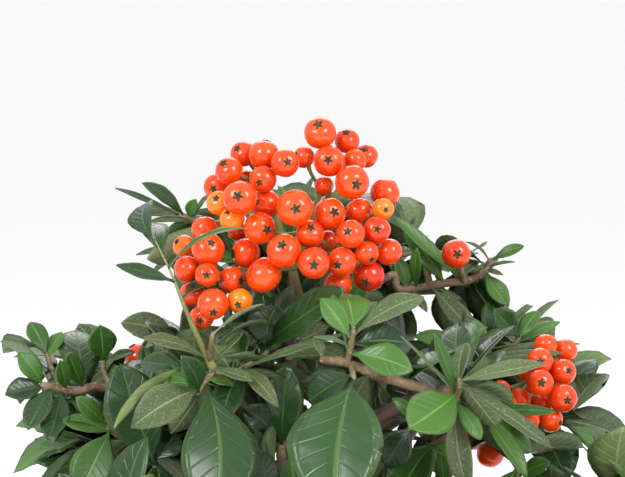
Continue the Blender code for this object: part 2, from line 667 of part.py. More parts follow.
def hang_berries(node, parts, rows, forks):
    """Berries laid out in the picture, each on a stalk from the nearest fork."""
    fork_points = [seen(*fork) for fork in forks]
    for fork in fork_points:
        parts.append(ball(fork, FORK_KNOB, RIGHT, 4, 2))
    for row, (centre, diameter) in zip(rows, settle_berries(rows)):
        foot = min(fork_points, key=lambda p: np.linalg.norm(p - centre))
        add_berry(node, parts, foot, centre, diameter, berry_facing(row))


def add_berry(node, parts, foot, centre, diameter, facing):
    berry = ball(centre, diameter * BALL_SWELL, facing)
    stalk = tube([foot, centre + v_unit(foot - centre) * diameter * 0.35], [PEDICEL_RADIUS] * 2)
    for piece in (berry, stalk):
        parts.append(piece)
        space.add(node, *piece)
    blades.add(node, *berry)


def join(name, parts, material):
    """One solid of the parts. A scrap that the union leaves loose is dropped."""
    helpers = bpy.data.collections.new(name + "_helpers")
    bpy.context.scene.collection.children.link(helpers)
    made = make_object(name, *parts[0], material)
    face_outwards(made.data)
    for i, (points, faces) in enumerate(parts[1:]):
        helper = make_object(f"{name}_helper{i}", points, faces, material, helpers)
        face_outwards(helper.data)
    union = made.modifiers.new("union", "BOOLEAN")
    union.operation = "UNION"
    union.operand_type = "COLLECTION"
    union.collection = helpers
    union.solver = "MANIFOLD"
    bpy.context.view_layer.update()
    graph = bpy.context.evaluated_depsgraph_get()
    joined = bpy.data.meshes.new_from_object(made.evaluated_get(graph))
    made.modifiers.clear()
    made.data = joined
    for helper in list(helpers.objects):
        bpy.data.objects.remove(helper)
    bpy.data.collections.remove(helpers)
    keep_largest(made.data)
    return made


def keep_largest(mesh):
    """Keeps the largest skin: a loose scrap goes, and a hollow that the union sealed is filled."""
    shape = bmesh.new()
    shape.from_mesh(mesh)
    bmesh.ops.triangulate(shape, faces=shape.faces)
    left, skins = set(shape.faces), []
    while left:
        found, front = set(), [next(iter(left))]
        while front:
            face = front.pop()
            if face in found:
                continue
            found.add(face)
            for edge in face.edges:
                if len(edge.link_faces) == 2:
                    front += edge.link_faces
        skins.append(found)
        left -= found
    skins.sort(key=len, reverse=True)
    scraps = [face for found in skins[1:] for face in found]
    bmesh.ops.delete(shape, geom=scraps, context="FACES")
    shape.to_mesh(mesh)
    shape.free()
    if len(skins) > 1:
        print("  dropped", [len(found) for found in skins[1:]], "faces")


def stem_from(bough, places, radius, side):
    """A spray's stem, in a node of its own: it starts one gap off its bough's tip, or off its side."""
    if side:
        path = smooth(places, 2)
        return seated_tube(path, np.linspace(radius, STEM_TIP_RADIUS, len(path)), 5, bough)
    tip, way = bough.end()
    lead = np.linalg.norm(places[0] - tip) * 0.4
    path = smooth([tip + way * GAP, tip + way * lead, *places], 2)
    radii = np.linspace(radius, STEM_TIP_RADIUS, len(path))
    return tube(path, radii, 5, first_normal=way), Limb(path, radii)


def inner_axis(path):
    """Points a leaf's step apart along a twig's axis, ending inside its tip."""
    spans = np.linalg.norm(np.diff(path, axis=0), axis=1)
    along = np.concatenate(([0], np.cumsum(spans)))
    stops = np.arange(along[-1] - END_INSET, END_INSET, -LEAF_STEP)[::-1]
    return np.column_stack([np.interp(stops, along, axis) for axis in np.transpose(path)])


def root_on(axes, point, steps_back):
    """The point of the twigs nearest a given one, or a few steps towards its twig's foot."""
    axis = min(axes, key=lambda points: np.linalg.norm(points - point, axis=1).min())
    nearest = int(np.argmin(np.linalg.norm(axis - point, axis=1)))
    return axis[max(nearest - steps_back, 0)]


def lay_fruit(node, parts, rows, forks, hub, axes):
    """A cluster laid out in the picture: from a twig to its hub, from there to its forks, and berries."""
    foot, middle = root_on(axes, seen(*hub), 0), seen(*hub)
    add_twig(node, parts, [foot, middle], [TWIG_RADIUS] * 2, laid=True)
    for fork in forks:
        add_twig(node, parts, [middle, seen(*fork)], [TWIG_RADIUS, 0.6 * MM], laid=True)
    hang_berries(node, parts, rows, forks)


def lay_front(name, plan, boughs):
    """The parts of a spray that is laid out in the picture: stem, twigs, then leaves."""
    parts = []
    bough = boughs[plan["bough"]]
    first = [seen(*place) for place in plan["twigs"][0]]
    radius = bough.radii[-1] * 0.95
    if plan.get("side"):
        nearest = min(bough.path, key=lambda p: np.linalg.norm(p - first[0]))
        first.insert(0, nearest)
    stem, limb = stem_from(bough, first, radius, plan.get("side", False))
    parts.append(stem)
    space.add(name, *stem)
    axes = [inner_axis(limb.path)]
    for twig in plan["twigs"][1:]:
        path = np.array([seen(*place) for place in twig])
        path[0] = root_on(axes, path[0], 0)
        if add_twig(name, parts, path, twig_radii(len(path)), laid=True):
            axes.append(inner_axis(path))
    if "fruit" in plan:
        lay_fruit(name, parts, *plan["fruit"], axes)
    for middle, leaves in plan["rosettes"]:
        for i, (across, down, near, width, roll) in enumerate(leaves):
            root = root_on(axes, seen(*middle), i)
            tip = seen(across, down, near)
            if not keep_leaf(name, parts, root, tip, width * STEP, leaf_normal(root, tip, roll), laid=True):
                print("left out a leaf of", name, "at", across, down)
    return parts


def hides_sky(points):
    across, down = in_picture(points)
    return any(((across > a) & (across < c) & (down > b) & (down < d)).any() for a, b, c, d in SKY)


def grow_rosette(node, parts, axis, way, count, chance):
    """Leaves along the last steps of an axis. Each is tried in three places, and dropped if it fits none."""
    side = v_unit(np.cross(way, (0.2, 0.3, 0.93)))
    other = np.cross(way, side)
    turn = chance.uniform(0, 2 * np.pi)
    for i in range(count):
        middle = axis[max(len(axis) - 1 - i, 0)]
        for _ in range(3):
            turn += GOLDEN_ANGLE
            lean = math.radians(chance.uniform(38, 78))
            out = way * math.cos(lean) + (side * math.cos(turn) + other * math.sin(turn)) * math.sin(lean)
            out = v_unit(out + (0, 0, 0.12))
            length = chance.uniform(*LEAF_LENGTH)
            width = length * chance.uniform(0.42, 0.6)
            tip = middle + out * length
            normal = v_unit(np.array((0, 0, 0.8)) + way * 0.4 + chance.normal(0, 0.25, 3))
            if hides_sky(leaf(middle, tip, width, normal)[0]):
                continue
            if keep_leaf(node, parts, middle, tip, width, normal, laid=False):
                break


def grow_fruit(node, parts, middle, way, count, chance, stem):
    """A domed cluster of berries on stalks from one fork, joined to the nearest point of the stem."""
    way = v_unit(np.array(way))
    side = v_unit(np.cross(way, (0.2, 0.3, 0.93)))
    other = np.cross(way, side)
    fork = middle - way * 7 * MM
    hold = min(stem, key=lambda p: np.linalg.norm(p - fork))
    add_twig(node, parts, [hold, fork], [TWIG_RADIUS, TWIG_RADIUS * 0.8], laid=True)
    parts.append(ball(fork, FORK_KNOB, way, 4, 2))
    berries = []
    for i in range(count):
        lean = math.acos(1 - 1.15 * (i + 0.5) / count)
        turn = i * GOLDEN_ANGLE
        out = way * math.cos(lean) + (side * math.cos(turn) + other * math.sin(turn)) * math.sin(lean)
        diameter = chance.uniform(*BERRY_DIAMETER)
        centre = fork + out * chance.uniform(9, 11) * MM * math.sqrt(count / 12)
        berries.append([centre, diameter, out])
    for _ in range(40):
        for i, first in enumerate(berries):
            for second in berries[:i]:
                apart = first[0] - second[0]
                short = 0.52 * (first[1] + second[1]) - np.linalg.norm(apart)
                if short > 0:
                    first[0] = first[0] + v_unit(apart) * short / 2
                    second[0] = second[0] - v_unit(apart) * short / 2
    for centre, diameter, out in berries:
        add_berry(node, parts, fork, centre, diameter, out)


def start_ruled(name, boughs):
    """The stem and the berries of a spray that grows by rule, and the stem's axis."""
    source, end, *_ = RULED[name]
    tip, way = boughs[source].end()
    finish = above_soil(*end)
    middle = (tip + finish) / 2 + (0, 0, 3 * MM)
    path = smooth([tip + way * GAP, tip + way * 7 * MM, middle, finish], 2)
    radii = np.linspace(boughs[source].radii[-1] * 0.95, STEM_TIP_RADIUS, len(path))
    stem = tube(path, radii, 5, first_normal=way)
    parts = [stem]
    space.add(name, *stem)
    if name in RULED_FRUIT:
        place, facing, count, seed = RULED_FRUIT[name]
        grow_fruit(name, parts, above_soil(*place), facing, count, np.random.default_rng(seed), path)
    return parts, inner_axis(path)


def grow_ruled(name, parts, axis):
    """Twigs round the stem by the golden angle, with leaves at their middle and end."""
    _, _, reach, twigs, seed = RULED[name]
    chance = np.random.default_rng(seed)
    along = v_unit(axis[-1] - axis[0])
    side = v_unit(np.cross(along, (0, 0, 1.0)))
    for i in range(twigs):
        share = (i + 0.8) / twigs
        at = axis[int(share * (len(axis) - 1))]
        turn = i * GOLDEN_ANGLE + chance.uniform(-0.3, 0.3)
        out = v_unit(side * math.cos(turn) + np.array((0, 0, 0.55)) * math.sin(turn) + along * 0.45)
        length = reach * MM * chance.uniform(0.7, 1.0) * (1 - 0.25 * share)
        twig = np.array([at, at + out * length])
        if hides_sky(twig) or not add_twig(name, parts, twig, twig_radii(len(twig))):
            continue
        shoot = inner_axis(twig)
        grow_rosette(name, parts, shoot[: len(shoot) * 2 // 3], out, 1, chance)
        grow_rosette(name, parts, shoot, out, 4, chance)
    grow_rosette(name, parts, axis, along, 5, chance)
    for share in (0.3, 0.55, 0.8):
        grow_rosette(name, parts, axis[: int(share * len(axis))], np.array((0, 0, 1.0)), 2, chance)


def oval_ring(length, depth, height, sides):
    """A ring of the pot's outline: a superellipse."""
    turn = 2 * np.pi * (np.arange(sides) + 0.5) / sides
    across = np.sign(np.cos(turn)) * np.abs(np.cos(turn)) ** (2 / OVAL)
    deep = np.sign(np.sin(turn)) * np.abs(np.sin(turn)) ** (2 / OVAL)
    return np.column_stack((across * length / 2, deep * depth / 2, np.full(sides, height)))


def build_pot(clay):
    """A shallow oval pot with a lip round its rim, on a narrower foot with a flat underside."""
    sides = 24
    floor = FOOT_HEIGHT + POT_WALL
    # inset from the body's widest outline, and height, outside up and then inside down
    profile = (
        (12 * MM, 0),
        (12 * MM, FOOT_HEIGHT - 1 * MM),
        (8 * MM, FOOT_HEIGHT),
        (2.5 * MM, FOOT_HEIGHT + 6 * MM),
        (0, POT_HEIGHT - LIP_HEIGHT),
        (-LIP_PROUD, POT_HEIGHT - LIP_HEIGHT + 1 * MM),
        (-LIP_PROUD, POT_HEIGHT - 1 * MM),
        (-LIP_PROUD + 1 * MM, POT_HEIGHT),
        (POT_WALL - 1 * MM, POT_HEIGHT),
        (POT_WALL, POT_HEIGHT - 1 * MM),
        (POT_WALL + 3 * MM, floor + 6 * MM),
        (POT_WALL + 9 * MM, floor),
    )
    body = POT_LENGTH - 2 * LIP_PROUD, POT_DEPTH - 2 * LIP_PROUD
    rings = np.array([oval_ring(body[0] - 2 * inset, body[1] - 2 * inset, height, sides) for inset, height in profile])
    points, faces = skin(rings, (0, 0, 0), (0, 0, floor))
    pot = make_object("pot", points, faces, clay)
    face_outwards(pot.data)


def build_soil(earth):
    """The soil, clear of the pot's wall, and flat where the trunk stands."""
    sides = 24
    body = POT_LENGTH - 2 * LIP_PROUD, POT_DEPTH - 2 * LIP_PROUD
    floor = FOOT_HEIGHT + POT_WALL
    rim = POT_HEIGHT - SOIL_BELOW_LIP
    inner = POT_WALL + GAP * 1.5
    profile = (
        (inner + 9.5 * MM, floor + GAP),
        (inner + 3.5 * MM, floor + 6 * MM),
        (inner + 1 * MM, rim),
        (inner + 12 * MM, rim + 0.45 * SOIL_DOME),
        (inner + 26 * MM, rim + 0.85 * SOIL_DOME),
        (inner + 34 * MM, GROUND),
    )
    rings = np.array([oval_ring(body[0] - 2 * inset, body[1] - 2 * inset, height, sides) for inset, height in profile])
    points, faces = skin(rings, (0, 0, floor + GAP), (0, 0, GROUND))
    soil = make_object("soil", points, faces, earth)
    face_outwards(soil.data)


def main():
    for thing in list(bpy.data.objects):
        bpy.data.objects.remove(thing)
    bark = make_material("bark", (0.14, 0.10, 0.075), 0.85)
    green = make_material("foliage", (0.06, 0.17, 0.04), 0.4)
    red = make_material("berry", (0.9, 0.14, 0.01), 0.25)
    build_pot(make_material("pot_clay", (0.20, 0.11, 0.075), 0.7))
    build_soil(make_material("soil", (0.08, 0.055, 0.04), 0.95))
    trunk = build_trunk(bark)
    boughs = build_boughs(trunk, bark)

    fruit = []
    tip, way = trunk.end()
    stalk = smooth([tip + way * GAP, tip + way * 1.5 * MM, seen(*TOP_HUB)], 1)
    add_twig("fruit_top", fruit, stalk, np.linspace(1.2 * MM, 0.9 * MM, len(stalk)), True, way)
    for fork in TOP_FORKS:
        add_twig("fruit_top", fruit, [seen(*TOP_HUB), seen(*fork)], [0.9 * MM, 0.6 * MM], True)
    hang_berries("fruit_top", fruit, TOP_BERRIES, TOP_FORKS)
    built = {"fruit_top": (fruit, red)}
    for name, plan in FRONT.items():
        built[name] = (lay_front(name, plan, boughs), green)
    started = {name: start_ruled(name, boughs) for name in RULED}
    for name, (parts, axis) in started.items():
        grow_ruled(name, parts, axis)
        built[name] = (parts, green)
    for name, (parts, material) in built.items():
        made = join(name, parts, material)
        print(name, len(parts), "parts,", len(made.data.polygons), "faces", flush=True)


main()
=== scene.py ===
# Firethorn bonsai: the looks. Bark, leaves, berries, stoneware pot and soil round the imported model.
# Lengths are metres, +Z up, front towards -Y. Plans are in mm, or in steps of a 625 x 477 picture.
import math

import bpy
import numpy as np
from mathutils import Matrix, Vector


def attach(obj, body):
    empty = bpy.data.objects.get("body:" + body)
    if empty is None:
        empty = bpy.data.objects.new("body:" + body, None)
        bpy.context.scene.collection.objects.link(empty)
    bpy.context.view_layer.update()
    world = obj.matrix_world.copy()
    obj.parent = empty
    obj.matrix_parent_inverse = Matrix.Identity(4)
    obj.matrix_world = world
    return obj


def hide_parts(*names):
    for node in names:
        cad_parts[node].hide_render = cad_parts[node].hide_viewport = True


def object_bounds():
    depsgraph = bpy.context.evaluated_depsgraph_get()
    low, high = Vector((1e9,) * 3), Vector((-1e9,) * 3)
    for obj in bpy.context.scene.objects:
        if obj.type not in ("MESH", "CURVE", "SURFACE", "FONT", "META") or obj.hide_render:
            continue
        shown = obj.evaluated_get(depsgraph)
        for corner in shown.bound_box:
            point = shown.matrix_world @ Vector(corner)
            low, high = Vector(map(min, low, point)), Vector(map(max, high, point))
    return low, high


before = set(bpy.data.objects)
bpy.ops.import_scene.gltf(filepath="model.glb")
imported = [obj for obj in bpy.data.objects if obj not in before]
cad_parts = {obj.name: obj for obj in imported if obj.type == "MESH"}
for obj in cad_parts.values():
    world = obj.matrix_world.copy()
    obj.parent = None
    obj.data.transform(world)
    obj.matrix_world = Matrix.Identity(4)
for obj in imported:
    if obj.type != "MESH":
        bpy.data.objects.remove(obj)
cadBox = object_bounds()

mm = 0.001
golden = math.radians(137.5)
anyPhase = (0, 6.3)  # a whole turn and a little
ground = 47 * mm  # the soil's height at the trunk

sight = {
    "target": (0, 0, 0.232),
    "distance": 0.70,
    "down": math.radians(6),
    "middle": (312.5, 238.5),  # picture step that looks at the target
    "step": mm / 4.4,  # one picture step at the target's distance
    "pictureWidth": 625,
}


def unit(v):
    return v / max(np.linalg.norm(v), 1e-12)


forward = np.array((0, math.cos(sight["down"]), -math.sin(sight["down"])))
right = np.array((1.0, 0, 0))
up = np.cross(right, forward)
eye = np.array(sight["target"]) - forward * sight["distance"]
focal = sight["distance"] / sight["step"]


def seen(across, down, near):  # the point at a picture place, near mm in front of the target
    ray = forward + right * (across - sight["middle"][0]) / focal + up * (sight["middle"][1] - down) / focal
    return eye + ray * (sight["distance"] - near * mm)


def inPicture(points):  # the picture places of points
    away = np.asarray(points) - eye
    depth = away @ forward
    across, down = focal * (away @ right) / depth, focal * (away @ up) / depth
    return sight["middle"][0] + across, sight["middle"][1] - down


def aboveSoil(x, y, height):
    return np.array((x * mm, y * mm, ground + height * mm))


# trunk: x, y, height above the soil, radius, in mm
trunkPlan = (
    (-4, 0, 0, 12.0),
    (-5, 0, 5, 10.6),
    (-8, -1, 16, 9.2),
    (-14, -2, 36, 8.2),
    (-14, 0, 56, 7.2),
    (-5, 2, 76, 6.2),
    (4, 3, 94, 5.3),
    (6, 2, 110, 4.3),
    (2, 1, 124, 3.2),
    (-4, -2, 137, 2.2),
    (-5.5, -4, 150, 1.85),
    (-4.5, -3, 163, 1.6),
    (-2.5, -1, 172, 1.3),
)

# boughs: path as x, y, height above the soil in mm, then the radius at root and tip
boughPlan = {
    "bough_left_low": (((-14, -1, 48), (-30, -6, 60), (-46, -10, 67)), 3.6, 1.9),
    "bough_front_left": (((-2, 2, 84), (-13, -13, 92), (-23, -25, 98)), 2.8, 1.6),
    "bough_front_right": (((5, 2, 98), (16, -13, 104), (24, -25, 108)), 2.7, 1.5),
    "bough_right_low": (((2, 2, 90), (19, -2, 96), (36, -6, 98), (50, -8, 100)), 3.0, 1.7),
    "bough_back_low": (((-11, 0, 66), (-9, 16, 76), (-6, 32, 84)), 3.2, 1.7),
    "bough_front_low": (((5, 2, 106), (0, -12, 112), (-6, -22, 117)), 2.6, 1.5),
    "bough_left_mid": (((5, 2, 114), (-12, 8, 126), (-24, 10, 133)), 2.5, 1.4),
    "bough_back_left": (((4, 2, 100), (-10, 20, 108), (-22, 34, 118)), 2.5, 1.4),
    "bough_back_right": (((5, 2, 104), (18, 16, 116), (30, 28, 124)), 2.5, 1.4),
    "bough_right_mid": (((0, 1, 128), (14, 6, 139), (28, 8, 147)), 2.0, 1.3),
    "bough_right_front": (
        ((-2, -1, 133), (8, -12, 142), (20, -20, 150), (27, -25, 153), (32.5, -28, 155.5)), 1.9, 1.3,
    ),
    "bough_left_front": (((-5.5, -4, 153), (-9, -7, 155.5), (-14, -11, 156)), 1.5, 1.25),
    "bough_back_high": (((-4, -2, 145), (-3, 8, 151), (-4, 12, 158)), 1.5, 1.1),
    "bough_back_right_high": (((-4, -2, 140), (6, 13, 150), (12, 30, 158)), 1.5, 1.2),
    "bough_right_high": (((-3.5, -2, 167), (6, 8, 171), (18, 19, 174)), 1.15, 0.95),
    "bough_left_high": (((-4.5, -3, 160), (-12, 6, 170), (-17, 12, 183)), 1.15, 0.95),
}

# berries of the front's clusters: across, down, diameter, mm nearer than the target, then how far right
# and down of the middle the calyx shows; forks and hubs of their stalks: across, down, near
topBerries = (
    (320, 133, 32, 14, -2, -9), (347, 141, 25, 9, -1, -9), (366, 156, 24, 6, -1, -7),
    (355, 160, 23, 11, 8, -15), (329, 161, 31, 16, -1, -1), (304, 157, 22, 10, -9, -3),
    (352, 182, 34, 17, 5, 3), (324, 186, 20, 11, -11, -4), (385, 193, 30, 10, 14, -16),
    (383, 209, 22, 16, 3, 1), (377, 230, 27, 18, 0, -1), (359, 211, 27, 12, -10, -15),
    (330, 214, 32, 17, 5, -2), (295, 208, 36, 22, 1, 1), (351, 234, 28, 22, -4, -3),
    (389, 252, 27, 15, 13, 12), (367, 253, 24, 20, 5, 7), (369, 276, 31, 16, -4, 7),
    (342, 262, 29, 21, -5, 3), (338, 284, 28, 16, 0, 22), (314, 263, 31, 25, 0, 2),
    (328, 241, 22, 12, 12, -12), (310, 234, 28, 20, 1, -7), (284, 251, 34, 24, -2, -7),
    (264, 275, 36, 20, 20, 22), (246, 253, 30, 13, -14, 1), (232, 280, 27, 16, 10, 1),
    (207, 275, 24, 20, 0, 0), (187, 269, 27, 15, -18, 4), (208, 249, 33, 17, 4, -7),
    (205, 229, 27, 11, 0, -20), (184, 246, 23, 9, -8, -5), (192, 294, 25, 13, -6, 14),
    (213, 304, 31, 22, 1, 9), (240, 301, 25, 20, -2, 4), (202, 317, 24, 17, -2, 4),
    (232, 219, 25, 14, -4, -8), (260, 228, 32, 17, 8, 2), (266, 204, 29, 16, -10, -2),
    (240, 198, 34, 22, -2, -2), (263, 179, 27, 17, -4, 4), (285, 163, 28, 18, 3, -1),
    (264, 155, 31, 13, 4, -24), (243, 154, 26, 9, -6, -6), (229, 171, 28, 15, -6, -8),
    (217, 187, 27, 11, -4, 2), (219, 203, 25, 13, -3, -5), (237, 231, 20, 6, 10, 16),
    (247, 181, 22, 8, -2, -16),
)
topForks = (
    (226, 272, 6), (238, 205, 4), (264, 180, 6), (300, 232, 6),
    (322, 190, 5), (350, 172, 5), (345, 248, 9), (372, 228, 7),
)
topHub = (292, 268, 3)
rightBerries = (
    (540, 361, 27, 0, 0, 0), (540, 383, 28, 4, 1, -1), (500, 391, 23, 0, 12, 12),
    (505, 406, 25, 2, -5, 4), (526, 420, 27, 4, 0, 4), (520, 399, 24, 0, 16, -12),
    (527, 370, 23, -5, -8, -16), (546, 345, 24, -6, 2, -16), (551, 420, 25, 0, 10, 3),
    (563, 372, 27, -2, 6, -2), (563, 398, 29, 3, 4, 2), (543, 403, 24, -3, 12, 14),
    (566, 350, 24, -8, 8, -10),
)
rightForks = ((532, 380, -10), (552, 392, -11))
rightHub = (520, 392, -15)
paleBerries = {(383, 209), (184, 246), (240, 301), (232, 219), (219, 203)}  # ripening to orange
deepBerries = {(369, 276), (237, 231), (247, 181), (377, 230)}  # deeper red

